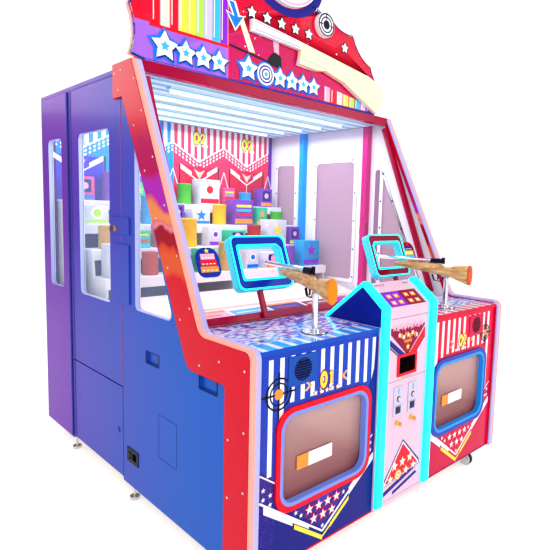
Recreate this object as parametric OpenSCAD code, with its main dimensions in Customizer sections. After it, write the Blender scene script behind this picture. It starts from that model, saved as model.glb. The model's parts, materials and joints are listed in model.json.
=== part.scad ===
// Two-player cork-gun prize cabinet: open-fronted display case with shelves,
// two rifles on posts, a middle coin tower and two prize doors.
// +X is the right-hand station, +Y is the back, +Z is up. The floor is z = 0.

/* [Cabinet] */
// Width over the two red cheek panels
cabinet_w = 1640; // [1500:10:1800]
// Depth from the front panels to the back panel's outer face
case_d = 1890; // [1860:5:2000]
// Height of the steel frame's underside above the floor
ground_gap = 90; // [80:1:110]
// Height of the roof's top face
roof_z = 1869; // [1850:1:1900]
// Height of the counter's top face
counter_z = 859; // [850:1:870]
// Thickness of the side, front and back boards
board_t = 18; // [15:1:20]
// Height of the round crest's top edge
crest_top_z = 2655; // [2620:5:2700]

/* [Cheeks] */
// Thickness of a cheek with its edge moulding
cheek_t = 41; // [36:1:44]
// Height of the cheek's top edge
cheek_top_z = 1882; // [1880:1:1890]
// Height of the cheek's edge above the counter
cheek_lip = 14; // [10:1:18]

/* [Side doors] */
// Distance from the front panels to the doors' front seam
seam_y = 913; // [905:1:920]
// Distance from the front panels to the doors' hinge line
hinge_y = 1498.5; // [1490:0.5:1505]
// Height where the lower door ends and the upper door begins
door_split_z = 516; // [500:1:530]

/* [Stations] */
// Distance of each prize door's centre from the middle
prize_x = 462; // [455:1:470]
// Width of the prize door's outer frame
prize_w = 484; // [470:1:490]
// Height of the prize door's outer frame
prize_h = 372; // [360:1:380]
// Distance of each rifle post from the middle
post_x = 445; // [440:1:450]
// Distance of each aim frame's centre from the middle
aim_x = 425; // [422:1:426]

/* [Coin tower] */
// Width over the tower's side faces
tower_w = 366; // [360:1:370]
// Height of the bend between the front and the sloped lid
bend_z = 931; // [925:1:940]
// Height of the tower's ridge
ridge_z = 1010; // [1005:1:1015]

/* [Rifles] */
// Height of the rifle's pitch pivot
pivot_z = 1032; // [1028:1:1040]
// Length from the pivot to the muzzle
muzzle_l = 463; // [450:1:470]
// Heading of the left rifle at rest, towards the middle
left_yaw = 16; // [0:0.5:16]
// Heading of the right rifle at rest, away from the middle
right_yaw = -2; // [-10:0.5:10]
// Nose-down angle of both rifles at rest
rest_dip = 1; // [0:0.5:3]

/* [Hidden] */
$fn = 48;
eps = 0.01;
key_proud = 36;
front_y = -(case_d - key_proud) / 2;
half_w = cabinet_w / 2;
cheek_in = half_w - cheek_t;
shell_out = half_w - 12;
shell_in = shell_out - board_t;
frame_tube = 40;
deck_z = ground_gap + frame_tube;
case_in = shell_in - frame_tube;
slope_top = [775, cheek_top_z];
slope_foot = [277, counter_z + cheek_lip];
cheek_front = -17;
corner_r = 38;
sill_r = 45;
screen_tilt = 22.4;
screen_foot = [385, counter_z + 3];
screen_l = 1050;
door_gap = 1.5;
hinge_x = shell_out + 5.5;
pin_r = 3;
run = 0.06;
knuckle_r = 5;
upper_door = [door_split_z + 3, roof_z - 24];
lower_door = [ground_gap + 15, door_split_z - 3];
window_z = [872, 1635];
tower_half = tower_w / 2;
tower_face = -10;
led_w = 42;
led_proud = 18;
led_out = tower_half + 4;
door_half = led_out - led_w - 2;
lid_seam_z = 883;
tower_door_z = [112, 620];
prize_z = 462;
flap_z = 642;
caster_x = 660;
caster_y = 70;
wheel_r = 33;
tiers = [[1220, 950], [1380, 1080], [1540, 1205], [1700, 1330]];
tier_d = 160;

// ---- helpers ----

// Everything is drawn with y measured from the front panels, then centred.
module placed() translate([0, front_y, 0]) children();

module span(lo, hi) translate(lo) cube(hi - lo);

module both() {
  children();
  mirror([1, 0, 0]) children();
}

// A side view, drawn as [y, z], raised along x from x0 to x1.
module side_slab(x0, x1) translate([x0, 0, 0])
  rotate([90, 0, 90]) linear_extrude(x1 - x0) children();

// A front view, drawn as [x, z], raised along y from y0 to y1.
module front_slab(y0, y1) translate([0, y1, 0])
  rotate([90, 0, 0]) linear_extrude(y1 - y0) children();

module rod_x(r, x0, x1) translate([x0, 0, 0]) rotate([0, 90, 0]) cylinder(r = r, h = x1 - x0);

module rod_y(r, y0, y1) translate([0, y0, 0]) rotate([-90, 0, 0]) cylinder(r = r, h = y1 - y0);

module rod_z(r, z0, z1) translate([0, 0, z0]) cylinder(r = r, h = z1 - z0);

function unit(v) = v / norm(v);

// Points of an arc that rounds the corner b between a and c with radius r.
function round_corner(a, b, c, r, n = 6) =
  let (u = unit(a - b), v = unit(c - b), half = acos(u * v) / 2, reach = r / tan(half),
    p = b + u * reach, q = b + v * reach, mid = b + unit(u + v) * (r / sin(half)),
    a0 = atan2(p[1] - mid[1], p[0] - mid[0]), a1 = atan2(q[1] - mid[1], q[0] - mid[0]),
    turn = a1 - a0 > 180 ? a1 - a0 - 360 : a1 - a0 < -180 ? a1 - a0 + 360 : a1 - a0)
  r <= 0 ? [b] : [for (i = [0:n]) mid + r * [cos(a0 + turn * i / n), sin(a0 + turn * i / n)]];

// A closed outline with one rounding radius for each corner.
function rounded(pts, radii) = let (m = len(pts))
  [for (i = [0:m - 1]) each round_corner(pts[(i + m - 1) % m], pts[i], pts[(i + 1) % m], radii[i])];

function rect_pts(x0, x1, z0, z1) = [[x0, z0], [x1, z0], [x1, z1], [x0, z1]];

module rounded_rect(x0, x1, z0, z1, r)
  polygon(rounded(rect_pts(x0, x1, z0, z1), [r, r, r, r]));

// ---- cheek outline ----

slope_dir = unit(slope_top - slope_foot);
slope_in = [slope_dir[1], -slope_dir[0]];

// Front edge of a cheek, set back by e into the board.
function cheek_edge(e) =
  let (top_y = counter_z + cheek_lip - e, foot = slope_foot + slope_in * e,
    sill = foot + slope_dir * ((top_y - foot[1]) / slope_dir[1]),
    head = foot + slope_dir * ((cheek_top_z - foot[1]) / slope_dir[1]),
    nose = [cheek_front + e, top_y], low = [cheek_front + e, ground_gap])
  concat([low], round_corner(low, nose, sill, corner_r - e),
    round_corner(nose, sill, head, sill_r + e), [head]);

function cheek_back() = let (knee = [360, 727], shoulder = [872, 1745])
  concat([[960, cheek_top_z], [960, shoulder[1]]], [shoulder],
    round_corner(shoulder, knee, [128, 727], 62), round_corner(knee, [128, 727], [128, 100], 12),
    [[128, ground_gap]]);

function reversed(v) = [for (i = [len(v) - 1:-1:0]) v[i]];

module cheek() color("crimson") placed() {
  side_slab(shell_out, half_w) polygon(concat(cheek_edge(12), cheek_back()));
  side_slab(cheek_in, shell_out) polygon(concat(cheek_edge(12), reversed(cheek_edge(30))));
}

module cheek_left() mirror([1, 0, 0]) cheek();

module cheek_right() cheek();

module cheek_mouldings() color("lightsalmon") placed() both()
  side_slab(cheek_in, half_w) polygon(concat(cheek_edge(0), reversed(cheek_edge(12))));

// ---- frame, feet and casters ----

module post(y) difference() {
  span([case_in, y, ground_gap], [shell_in, y + frame_tube, roof_z - board_t]);
  span([case_in + 16, y - 1, 1168], [shell_in - 2, y + frame_tube + 1, 1244]);
}

module steel_frame() color("dimgray") placed() {
  both() {
    span([case_in, 60, ground_gap], [shell_in, case_d - board_t, deck_z]);
    post(seam_y - 20);
    span([case_in, hinge_y - 20, deck_z], [shell_in, hinge_y + 20, roof_z - board_t]);
    difference() {
      span([caster_x - 50, caster_y - 45, ground_gap - 6], [shell_in, caster_y + 45, ground_gap]);
      translate([caster_x, caster_y, 0]) rod_z(6 + run, ground_gap - 10, ground_gap + 10);
    }
  }
  for (y = [130, 883 + 30, case_d - board_t - frame_tube])
    span([-case_in, y, ground_gap], [case_in, y + frame_tube, deck_z]);
}

module leveling_feet() color("gray") placed() both() for (y = [240, 883, 1565])
  translate([(case_in + shell_in) / 2, y, 0]) {
    rod_z(22, 0, 14);
    rod_z(6, 14, ground_gap);
    translate([0, 0, ground_gap - 12]) cylinder(r = 11, h = 12, $fn = 6);
  }

module floor_deck() color("burlywood") placed()
  span([-case_in, board_t, deck_z], [case_in, case_d - board_t, deck_z + 12]);

module caster_fork() color("silver") placed() translate([caster_x, caster_y, 0])
mirror([0, 1, 0]) {
  rod_z(6, ground_gap - 22, ground_gap + 8);
  difference() {
    union() {
      rod_z(24, ground_gap - 22, ground_gap - 7);
      for (s = [-1, 1]) translate([s * 15.5, 0, 0])
        side_slab(-2, 2) polygon([[-16, 76], [16, 76], [34, 34], [24, 22], [12, 30]]);
    }
    translate([0, 20, wheel_r + 1]) rod_x(4 + run, -20, 20);
  }
}

module caster_wheel() color("dimgray") placed()
  translate([caster_x, caster_y - 20, wheel_r + 1]) {
    rod_x(wheel_r, -12, 12);
    rod_x(4, -19, 19);
  }

module caster_fork_right() caster_fork();
module caster_fork_left() mirror([1, 0, 0]) caster_fork();
module caster_wheel_right() caster_wheel();
module caster_wheel_left() mirror([1, 0, 0]) caster_wheel();

// ---- side shells, doors and hinges ----

function front_window() = rounded([[787, 877], [478, 877], [787, 1564]], [22, 26, 6]);

handholds = [[188, 672, 108], [591, 675, 102]];

module knuckles(z0, z1, parity) {
  count = 9;
  pitch = (z1 - z0) / count;
  for (i = [parity:2:count - 1]) translate([hinge_x, hinge_y, 0]) difference() {
    union() {
      rod_z(knuckle_r, z0 + i * pitch + 0.3, z0 + (i + 1) * pitch - 0.3);
      translate([-5.5, parity == 0 ? 0 : -8, z0 + i * pitch + 0.3])
        cube([2, 8, pitch - 0.6]);
    }
    rod_z(pin_r + run, z0 - 1, z1 + 1);
  }
}

module side_shell() {
  color("royalblue") placed() {
    difference() {
      side_slab(shell_in, shell_out) difference() {
        intersection() {
          polygon(concat(cheek_edge(30.5), [[seam_y, cheek_top_z], [seam_y, ground_gap]]));
          square_span([0, ground_gap], [seam_y - door_gap / 2, roof_z - board_t]);
        }
        polygon(front_window());
      }
      for (h = handholds) span([shell_out - 11, h[0], h[1]], [shell_out + 1, h[0] + h[2], h[1] + 48]);
    }
    span([shell_in, seam_y - 0.75, roof_z - 22], [shell_out, case_d, roof_z - board_t]);
    side_slab(shell_in, shell_out) difference() {
      square_span([hinge_y + 1.5, ground_gap], [case_d, roof_z - 21]);
      polygon(rounded(rect_pts(1600, 1790, window_z[0], window_z[1]), [28, 28, 28, 28]));
    }
    span([shell_out, hinge_y + 6, upper_door[0]], [shell_out + 2, hinge_y + 32, upper_door[1]]);
    span([shell_out, hinge_y + 6, lower_door[0]], [shell_out + 2, hinge_y + 32, lower_door[1]]);
    knuckles(upper_door[0], upper_door[1], 0);
    knuckles(lower_door[0], lower_door[1], 0);
  }
  color("silver") placed() translate([hinge_x, hinge_y, 0]) {
    rod_z(pin_r, lower_door[0], lower_door[1]);
    rod_z(pin_r, upper_door[0], upper_door[1]);
  }
  color([0.8, 0.9, 1, 0.4]) placed() side_slab(shell_in - 4, shell_in) {
    polygon(rounded([[850, 850], [445, 850], [850, 1640]], [20, 20, 20]));
    rounded_rect(1580, 1810, window_z[0] - 20, window_z[1] + 20, 20);
  }
}

module square_span(lo, hi) translate(lo) square(hi - lo);

module side_shell_right() side_shell();

// The left shell also has the cut-out for the mains inlet plate.
module side_shell_left() difference() {
  mirror([1, 0, 0]) side_shell();
  color("royalblue") placed() span([-shell_out - 1, 775, 205], [-shell_in + 1, 863, 255]);
}

// A hinged door skin between two heights, with the moving half of the hinge.
module door_skin(z) {
  span([shell_in + 0.5, seam_y + door_gap / 2, z[0]], [shell_out, hinge_y - 2, z[1]]);
}

module door_leaf(z) {
  span([shell_out, hinge_y - 34, z[0]], [shell_out + 2, hinge_y - 6, z[1]]);
  knuckles(z[0], z[1], 1);
}

module lock_cover(y0, y1, z0, z1) {
  span([shell_out - eps, seam_y + 2, z0], [shell_out + 6, y1, z1]);
  span([shell_out + 0.5, y0, z0], [shell_out + 6, seam_y + 2 + eps, z1]);
}

lock_y = 958;
lock_z = 1206;
lock_r = 9;

module door_upper() {
  color("slateblue") placed() {
    difference() {
      union() {
        door_skin(upper_door);
        lock_cover(831, 1001, 1184, 1254);
      }
      side_slab(shell_in, shell_out + 1)
        rounded_rect(1027, 1372, window_z[0], window_z[1], 28);
      translate([0, lock_y, lock_z]) rod_x(lock_r + run, shell_in - 5, shell_out + 10);
    }
    lock_cover(834, 992, 892, 1141);
    door_leaf(upper_door);
  }
  color([0.8, 0.9, 1, 0.4]) placed() side_slab(shell_in - 3.5, shell_in + 0.5)
    rounded_rect(1007, 1392, window_z[0] - 20, window_z[1] + 20, 20);
}

module door_lower() color("royalblue") placed() {
  door_skin(lower_door);
  door_leaf(lower_door);
  translate([0, 960, 306]) rod_x(12, shell_out - eps, shell_out + 4);
}

module door_upper_right() door_upper();
module door_upper_left() mirror([1, 0, 0]) door_upper();
module door_lower_right() door_lower();
module door_lower_left() mirror([1, 0, 0]) door_lower();

// A cam lock seen from its head: barrel, head, key and cam, along +x.
module cam_lock(barrel_l, key_l) {
  rod_x(lock_r, -barrel_l, 0.2);
  rod_x(12, 0.2, 4);
  span([4 - eps, -1.2, -9], [4 + key_l, 1.2, 9]);
  span([-barrel_l - 4, -6, -36], [-barrel_l + eps, 6, 6]);
}

module door_lock() color("silver") placed()
  translate([shell_out + 6, lock_y, lock_z]) cam_lock(28, 22);

module door_lock_right() door_lock();
module door_lock_left() mirror([1, 0, 0]) door_lock();

module back_panel() color("midnightblue") placed() difference() {
  span([-shell_in, case_d - board_t, ground_gap], [shell_in, case_d, roof_z - board_t]);
  for (x = [-420:120:420]) for (z = [260, 300, 340])
    span([x - 40, case_d - board_t - 1, z], [x + 40, case_d + 1, z + 14]);
}

module roof_panel() color("midnightblue") placed()
  span([-shell_out, 812, roof_z - board_t], [shell_out, case_d, roof_z]);

module power_plate() color("lightgray") placed() translate([-shell_out, 0, 0]) difference() {
  union() {
    span([-3, 767, 198], [0, 871, 262]);
    span([0, 776, 206], [board_t + 20, 862, 254]);
  }
  span([-4, 784, 214], [16, 818, 246]);
  span([-4, 830, 214], [18, 854, 246]);
}

module power_switch() color("black") placed() translate([-shell_out + 4, 842, 230])
  intersection() {
    rotate([90, 0, 0]) translate([0, 0, -10]) cylinder(r = 13, h = 20);
    span([-9, -10, -14], [10, 10, 14]);
  }

// ---- front panels, prize doors and chutes ----

module prize_hole(grow) rounded_rect(prize_x - 210 - grow, prize_x + 210 + grow,
  prize_z - 154 - grow, prize_z + 154 + grow, 50 + grow);

speaker_x = 589;
speaker_z = 770;

module front_panels() color("navy") placed() both() difference() {
  front_slab(0, board_t) difference() {
    square_span([tower_half + 1, ground_gap], [cheek_in, counter_z - board_t]);
    prize_hole(10);
  }
  translate([speaker_x, 0, speaker_z]) rod_y(42, -1, board_t + 1);
}

module prize_bezels() color("red") placed() both() {
  front_slab(-8, 0) difference() {
    rounded_rect(prize_x - prize_w / 2, prize_x + prize_w / 2,
      prize_z - prize_h / 2, prize_z + prize_h / 2, 72);
    prize_hole(0);
  }
  front_slab(0, board_t) difference() {
    prize_hole(9.5);
    prize_hole(0);
  }
  for (s = [-1, 1]) translate([prize_x + s * 226, 0, 0])
    span([-4, board_t, 620], [4, board_t + 20, 656]);
  translate([prize_x, board_t + 10, flap_z]) rod_x(pin_r, -224, 224);
}

module prize_flap() color([0.55, 0.45, 0.5, 0.5]) placed() difference() {
  union() {
    front_slab(board_t + 8, board_t + 12)
      rounded_rect(prize_x - 219, prize_x + 219, prize_z - 163, flap_z, 40);
    translate([prize_x, board_t + 10, flap_z]) rod_x(6, -219, 219);
  }
  translate([prize_x, board_t + 10, flap_z]) rod_x(pin_r + run, -230, 230);
}

module prize_flap_right() prize_flap();
module prize_flap_left() mirror([1, 0, 0]) prize_flap();

bin_x = [232, 700];
bin_d = 430;

module prize_chutes() {
  color("white") placed() {
    both() {
      span([bin_x[0], 40, 262], [bin_x[1], bin_d, 272]);
      span([bin_x[0] - 10, 40, 262], [bin_x[0], bin_d, 700]);
      span([bin_x[1], 40, 262], [bin_x[1] + 10, bin_d, 700]);
      span([bin_x[0] - 10, bin_d, 262], [bin_x[1] + 10, bin_d + 10, 690]);
    }
    side_slab(-case_in + 2, case_in - 2)
      polygon([[440, 690], [1210, 838], [1210, 850], [440, 702]]);
    side_slab(-case_in + 2, case_in - 2)
      polygon([[415, 844], [600, 868], [600, 878], [415, 854]]);
  }
  color("maroon") placed() span([-case_in + 2, 600, 858], [case_in - 2, 614, 884]);
}

module counter_top() color("mediumpurple") placed() difference() {
  span([-cheek_in, -6, counter_z - board_t], [cheek_in, 410, counter_z]);
  span([-led_out - 0.5, -40, counter_z - 60], [led_out + 0.5, 284, counter_z + 60]);
}

module speakers() placed() both() translate([speaker_x, 0, speaker_z]) {
  color("slategray") difference() {
    span([-66, -3, -51], [66, 0, 51]);
    for (i = [-3:3]) let (reach = 40 * sqrt(1 - i * i / 16))
      span([-reach, -4, i * 9 - 2], [reach, 1, i * 9 + 2]);
  }
  color("dimgray") difference() {
    union() {
      span([-48, board_t, -48], [48, board_t + 4, 48]);
      rod_y(30, board_t, board_t + 45);
    }
    rod_y(26, board_t - 1, board_t + 30);
  }
}

// ---- coin tower ----

ridge_y = 92;
tower_back = 278;

// Side outline of the tower, grown outwards by g.
function tower_line(g) = [[tower_face - g, ground_gap + 20], [tower_face - g, bend_z + g / 2],
  [ridge_y, ridge_z + g * 1.2], [tower_back + g * 1.3, counter_z + 1]];

// Axis of the coin door's hinge, just outside its left edge.
tower_hinge = [-door_half + 3, tower_face - 4.5];

module tower_body() color("mistyrose") placed() {
  both() side_slab(tower_half - board_t, tower_half) polygon(concat(
    [[tower_face, ground_gap + 2]], [for (i = [1:3]) tower_line(0)[i]],
    [[tower_back, deck_z + 12], [board_t, deck_z + 12], [board_t, ground_gap + 2]]));
  front_slab(tower_face, tower_face + board_t) difference() {
    square_span([-tower_half + board_t, tower_door_z[1] + 2], [tower_half - board_t, lid_seam_z - 1]);
    rounded_rect(-60, 60, 642, 722, 4);
  }
  both() front_slab(tower_face, tower_face + board_t)
    square_span([door_half + 1, ground_gap + 2], [tower_half - board_t, bend_z - 4]);
  both() side_slab(door_half + 1, tower_half - board_t) polygon([[tower_face, bend_z - 4],
    [ridge_y - 4, ridge_z - 4], [ridge_y - 4, ridge_z - 24], [tower_face + board_t, bend_z - 10],
    [tower_face + board_t, bend_z - 14]]);
  span([-door_half - 1, tower_face, ground_gap + 2], [door_half + 1, board_t, tower_door_z[0] - 2]);
  side_slab(-tower_half + board_t, tower_half - board_t) polygon([[ridge_y + 6, ridge_z - 6],
    [tower_back, counter_z - 1], [tower_back, counter_z - 20], [ridge_y + 6, ridge_z - 30]]);
  span([-tower_half + board_t, tower_back - board_t, deck_z + 12],
    [tower_half - board_t, tower_back, counter_z - 19]);
  for (z = [180, 480]) for (dz = [-16, 41]) translate([tower_hinge[0], tower_hinge[1], z + dz]) {
    rod_z(4, 0, 15);
    translate([-4.9, -1.5, 0]) cube([1.3, 8, 15]);
  }
  for (z = [180, 480]) translate([tower_hinge[0], tower_hinge[1], 0]) rod_z(2, z - 16, z + 56);
  for (s = [-1, 1]) translate([s * 95, ridge_y, ridge_z + 4]) {
    rod_x(6, -30, 30);
    span([-30, 4, -22], [30, 12, 0]);
  }
  translate([0, ridge_y, ridge_z + 4]) rod_x(pin_r, -126, 126);
}

module led_strips() {
  color("cyan") placed() both() side_slab(led_out - led_w, led_out) polygon(concat(
    tower_line(led_proud), [[tower_back, counter_z + 1]],
    reversed([for (i = [0:2]) tower_line(0)[i]])));
  color("cyan") placed() both() on_screen() front_slab(-44, -38) {
    difference() {
      aim_outline(0);
      aim_outline(-aim_led_w[0]);
    }
    difference() {
      aim_hole(aim_led_w[1]);
      aim_hole(0);
    }
  }
}

module tower_lid() color("lavender") placed() difference() {
  union() {
    side_slab(-door_half, door_half) polygon([[tower_face, lid_seam_z + 1],
      [tower_face, bend_z], [ridge_y - 2, ridge_z - 3], [ridge_y - 2, ridge_z - 26],
      [tower_face + board_t, bend_z - 14], [tower_face + board_t, lid_seam_z + 1]]);
    translate([0, ridge_y, ridge_z + 4]) rod_x(6, -62, 62);
    span([-62, ridge_y - 12, ridge_z - 14], [62, ridge_y - 2, ridge_z + 4]);
  }
  translate([0, ridge_y, ridge_z + 4]) rod_x(pin_r + run, -140, 140);
  for (s = [-1, 1]) translate([s * 95, ridge_y, ridge_z + 4]) rod_x(6.6, -33, 33);
}

plate_x = 50;
plate_z = [468, 595];
button_z = 548;
tower_lock_z = 437;

module tower_door() color("mistyrose") placed() {
  difference() {
    span([-door_half, tower_face, tower_door_z[0]],
      [door_half, tower_face + board_t, tower_door_z[1]]);
    for (s = [-1, 1]) {
      span([s * plate_x - 27, tower_face - 1, plate_z[0] + 5],
        [s * plate_x + 27, tower_face + board_t + 1, plate_z[1] - 5]);
      translate([s * plate_x, 0, tower_lock_z]) rod_y(lock_r + run, tower_face - 1, 20);
    }
  }
  translate([tower_hinge[0], tower_hinge[1], 0]) for (z = [180, 480]) difference() {
    union() {
      rod_z(4, z, z + 40);
      span([0, 0, z], [14, 4.5 + eps, z + 40]);
    }
    rod_z(2 + run, z - 1, z + 41);
  }
}

module coin_acceptors() color("silver") placed() for (s = [-1, 1]) translate([s * plate_x, 0, 0]) {
  difference() {
    union() {
      front_slab(tower_face - 3, tower_face) rounded_rect(-32, 32, plate_z[0], plate_z[1], 4);
      span([-26, tower_face - eps, plate_z[0] + 6], [26, tower_face + 70, plate_z[1] - 6]);
    }
    span([-2, tower_face - 4, 562], [2, tower_face + 60, 588]);
    translate([0, 0, button_z - 6]) rod_y(8 + run, tower_face - 4, tower_face + 30);
    span([-18, tower_face - 4, 478], [18, tower_face + 40, 512]);
  }
}

module reject_button() color("gold") placed() translate([plate_x, 0, button_z - 6]) {
  rod_y(8, tower_face - 8, tower_face + 18);
}

module reject_button_right() reject_button();
module reject_button_left() mirror([1, 0, 0]) reject_button();

module tower_lock() color("silver") placed() translate([plate_x, tower_face, tower_lock_z])
  rotate([0, 0, -90]) cam_lock(26, 22);

module tower_lock_right() tower_lock();
module tower_lock_left() mirror([1, 0, 0]) tower_lock();

module cork_pocket() color("red") placed() {
  front_slab(tower_face - 4, tower_face) difference() {
    rounded_rect(-68, 68, 636, 728, 5);
    rounded_rect(-55, 55, 648, 716, 3);
  }
  difference() {
    span([-59, tower_face, 644], [59, tower_face + 90, 720]);
    span([-55, tower_face - 1, 648], [55, tower_face + 86, 716]);
    span([-20, 30, 700], [20, 70, 740]);
  }
  difference() {
    span([-24, 26, 720], [24, 74, 788]);
    span([-20, 30, 700], [20, 70, 800]);
  }
}

hopper_y = 112;
hopper_r = 92;

module cork_hopper() color("lightgray") placed() translate([0, hopper_y, 0]) {
  difference() {
    rod_z(hopper_r, 790, 888);
    rod_z(hopper_r - 4, 796, 900);
    rod_z(5 + run, 780, 800);
    translate([0, -62, 0]) rod_z(15, 780, 800);
  }
  difference() {
    rod_z(30, 720, 790 - eps);
    rod_z(5 + run, 760, 800);
  }
  for (s = [-1, 1]) {
    span([s * 125 - 40, -20, 776], [s * 125 + 40, 20, 782]);
    span([s * 88 - 3, -20, 782], [s * 88 + 3, 20, 800]);
  }
}

module cork_agitator() color("orange") placed() translate([0, hopper_y, 0]) {
  difference() {
    rod_z(hopper_r - 7, 798, 803);
    for (a = [0:45:315]) rotate(a) translate([62, 0, 0]) rod_z(15, 790, 810);
  }
  rod_z(14, 803, 830);
  rod_z(5, 764, 798.5);
}

module cash_box() color("gray") placed() difference() {
  span([-100, 40, deck_z + 12], [100, 220, deck_z + 120]);
  span([-97, 43, deck_z + 15], [97, 217, deck_z + 121]);
}

// ---- rifles ----

module gun_posts() color("silver") placed() both() translate([post_x, 96, 0]) difference() {
  union() {
    rod_z(46, counter_z, counter_z + 6);
    rod_z(12, counter_z + 6, pivot_z - 28);
    rod_z(18, counter_z + 6, counter_z + 14);
  }
  rod_z(8 + run, pivot_z - 90, pivot_z);
}

module yoke() color("gray") {
  rod_z(8, -88, -24);
  rod_z(11.5, -27.4, -24.5);
  difference() {
    span([-6, -14, -25], [6, 14, 12]);
    rod_x(4 + run, -10, 10);
  }
}

// Side outline of the wooden stock: nose to butt, then back along the belly.
stock_line = concat([[300, 40], [60, 42], [34, 38]], [[12, 24], [-12, 24], [-40, 33], [-122, 41]],
  [[-118, -52], [-60, -34], [-24, -22], [10, -19], [60, -13], [150, -2], [262, 8], [300, 16]]);
stock_half = 19;
trigger_at = [48, -8];

module stock() color("burlywood") {
  difference() {
    side_slab(-stock_half, stock_half) polygon(stock_line);
    span([-6.3, -18, -60], [6.3, 18, 17.5]);
    span([-4, 30, -60], [4, 62, 6]);
  }
  rod_x(4, -stock_half - 2, stock_half + 2);
  translate([0, trigger_at[0], trigger_at[1]]) rod_x(2, -stock_half, stock_half);
  color("orangered") side_slab(-17, 17)
    polygon([[-122, 40], [-128, 38], [-124, -51], [-118, -51]]);
}

bore_z = 52;

module barrel() color("silver") {
  translate([0, 0, bore_z]) difference() {
    rod_y(10, 70, muzzle_l);
    rod_y(7, 120, muzzle_l + 1);
  }
  side_slab(-11, 11) polygon([[26, 42.2], [90, 42.2], [84, 64], [40, 64], [30, 58]]);
  span([-4, 14, 40], [4, 28, 70]);
  side_slab(-5, 5) difference() {
    polygon(rounded([[16, -24], [24, -50], [70, -46], [84, -14]], [4, 12, 12, 4]));
    polygon(rounded([[20, -22], [27, -47], [68, -43], [80, -10]], [3, 10, 10, 3]));
    polygon(concat([[-10, 30]], [[-10, -20.9], [10, -19.2], [60, -13.2], [100, -8.9]], [[100, 30]]));
  }
}

module trigger() color("dimgray") translate([0, trigger_at[0], trigger_at[1]]) difference() {
  side_slab(-3, 3) polygon([[-6, 8], [6, 8], [6, -6], [1, -18], [3, -32], [-2, -32], [-5, -18],
    [-6, -6]]);
  rod_x(2 + run, -5, 5);
}

// Puts a rifle part on its post with heading yaw; the right-hand post is side 1.
module on_post(side, yaw, dip = rest_dip) placed()
  translate([side * post_x, 96, pivot_z]) rotate([0, 0, -yaw]) rotate([-dip, 0, 0]) children();

module yoke_left() on_post(-1, left_yaw, 0) yoke();
module yoke_right() on_post(1, right_yaw, 0) yoke();
module stock_left() on_post(-1, left_yaw) stock();
module stock_right() on_post(1, right_yaw) stock();
module barrel_left() on_post(-1, left_yaw) barrel();
module barrel_right() on_post(1, right_yaw) barrel();
module trigger_left() on_post(-1, left_yaw) trigger();
module trigger_right() on_post(1, right_yaw) trigger();

// ---- windshield and aim frames ----

// Puts children on the leaning screen: local z runs up the slope, y out of it.
module on_screen() translate([0, screen_foot[0], screen_foot[1]])
  rotate([-screen_tilt, 0, 0]) children();

function slope_s(z) = (z - screen_foot[1]) / cos(screen_tilt);

aim_s = [slope_s(970), slope_s(1182)];
hole_s = [slope_s(1014), slope_s(1138)];
// Widths of the light strips along an aim frame's outer edge and round its hole.
aim_led_w = [7, 10];

module aim_outline(grow) polygon(rounded(rect_pts(aim_x - 143 - grow, aim_x + 143 + grow,
  aim_s[0] - grow, aim_s[1] + grow), [26, 26, 26, 26]));

// The upper corner towards the middle is cut off at a slant.
module aim_hole(grow) let (x = [aim_x - 106 - grow, aim_x + 106 + grow], c = 12 + grow)
  polygon(rounded([[x[0], hole_s[0] - grow], [x[1], hole_s[0] - grow], [x[1], hole_s[1] + grow],
    [x[0] + c, hole_s[1] + grow], [x[0], hole_s[1] + grow - c]], [12, 12, 12, 6, 6]));

module windshield() color([0.85, 0.95, 1, 0.3]) placed() on_screen() difference() {
  span([-case_in, 0, 3], [case_in, 6, screen_l]);
  both() span([aim_x - 125, -1, slope_s(990)], [aim_x + 125, 7, slope_s(1165)]);
}

module aim_frames() placed() both() on_screen() {
  color("darkblue") front_slab(-38, 0) difference() {
    aim_outline(0);
    aim_hole(0);
  }
  color("darkred") span([aim_x + 19, -26, 2], [aim_x + 41, -10, aim_s[0] + 6]);
  color("salmon") front_slab(-5, 0)
    polygon(rounded(rect_pts(aim_x + 182, aim_x + 286, slope_s(1038), slope_s(1150)),
      [30, 30, 44, 44]));
}

module windshield_frame() color("crimson") placed() {
  span([-cheek_in, 770, 1836], [cheek_in, 812, 1880]);
  span([-case_in, screen_foot[0] - 8, counter_z], [case_in, screen_foot[0] + 25, counter_z + 3]);
  both() on_screen() span([case_in + 0.5, -14, 10], [cheek_in, 12, screen_l - 18]);
  on_screen() span([-case_in, -10, 2], [case_in, 0, 30]);
}

// ---- display, lights and marquee ----

module shelves() color("white") placed() {
  for (t = tiers) {
    span([-case_in + 2, t[0], t[1] - 12], [case_in - 2, t[0] + tier_d, t[1]]);
    span([-case_in + 2, t[0], t[1] - 52], [case_in - 2, t[0] + 10, t[1] - 12]);
  }
  for (x = [-case_in + 12, 0, case_in - 12]) side_slab(x - 6, x + 6) polygon(concat(
    [[1226, deck_z + 12]], [for (t = tiers) each [[t[0] + 10, t[1] - 52], [t[0] + 10, t[1] - 12],
    [t[0] + tier_d, t[1] - 12]]], [[1860, deck_z + 12]]));
}

prize_sizes = [[150, 100, 165], [90, 84, 120], [124, 90, 96], [104, 90, 130]];

module prizes() placed() for (k = [0:3]) for (i = [0:8]) {
  size = prize_sizes[(i + k) % 4];
  x = -640 + i * 160;
  color(["gold", "tomato", "deepskyblue", "limegreen"][(i + 2 * k) % 4])
    translate([x, tiers[k][0] + 84, tiers[k][1]])
      if ((i + k) % 3 == 1) cylinder(r = size[1] / 2, h = size[2]);
      else translate([-size[0] / 2, -size[1] / 2, 0]) cube(size);
}

module back_graphics() color("mediumvioletred") placed()
  span([-case_in + 2, case_d - board_t - 12, deck_z + 12],
    [case_in - 2, case_d - board_t, roof_z - board_t - 2]);

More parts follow.
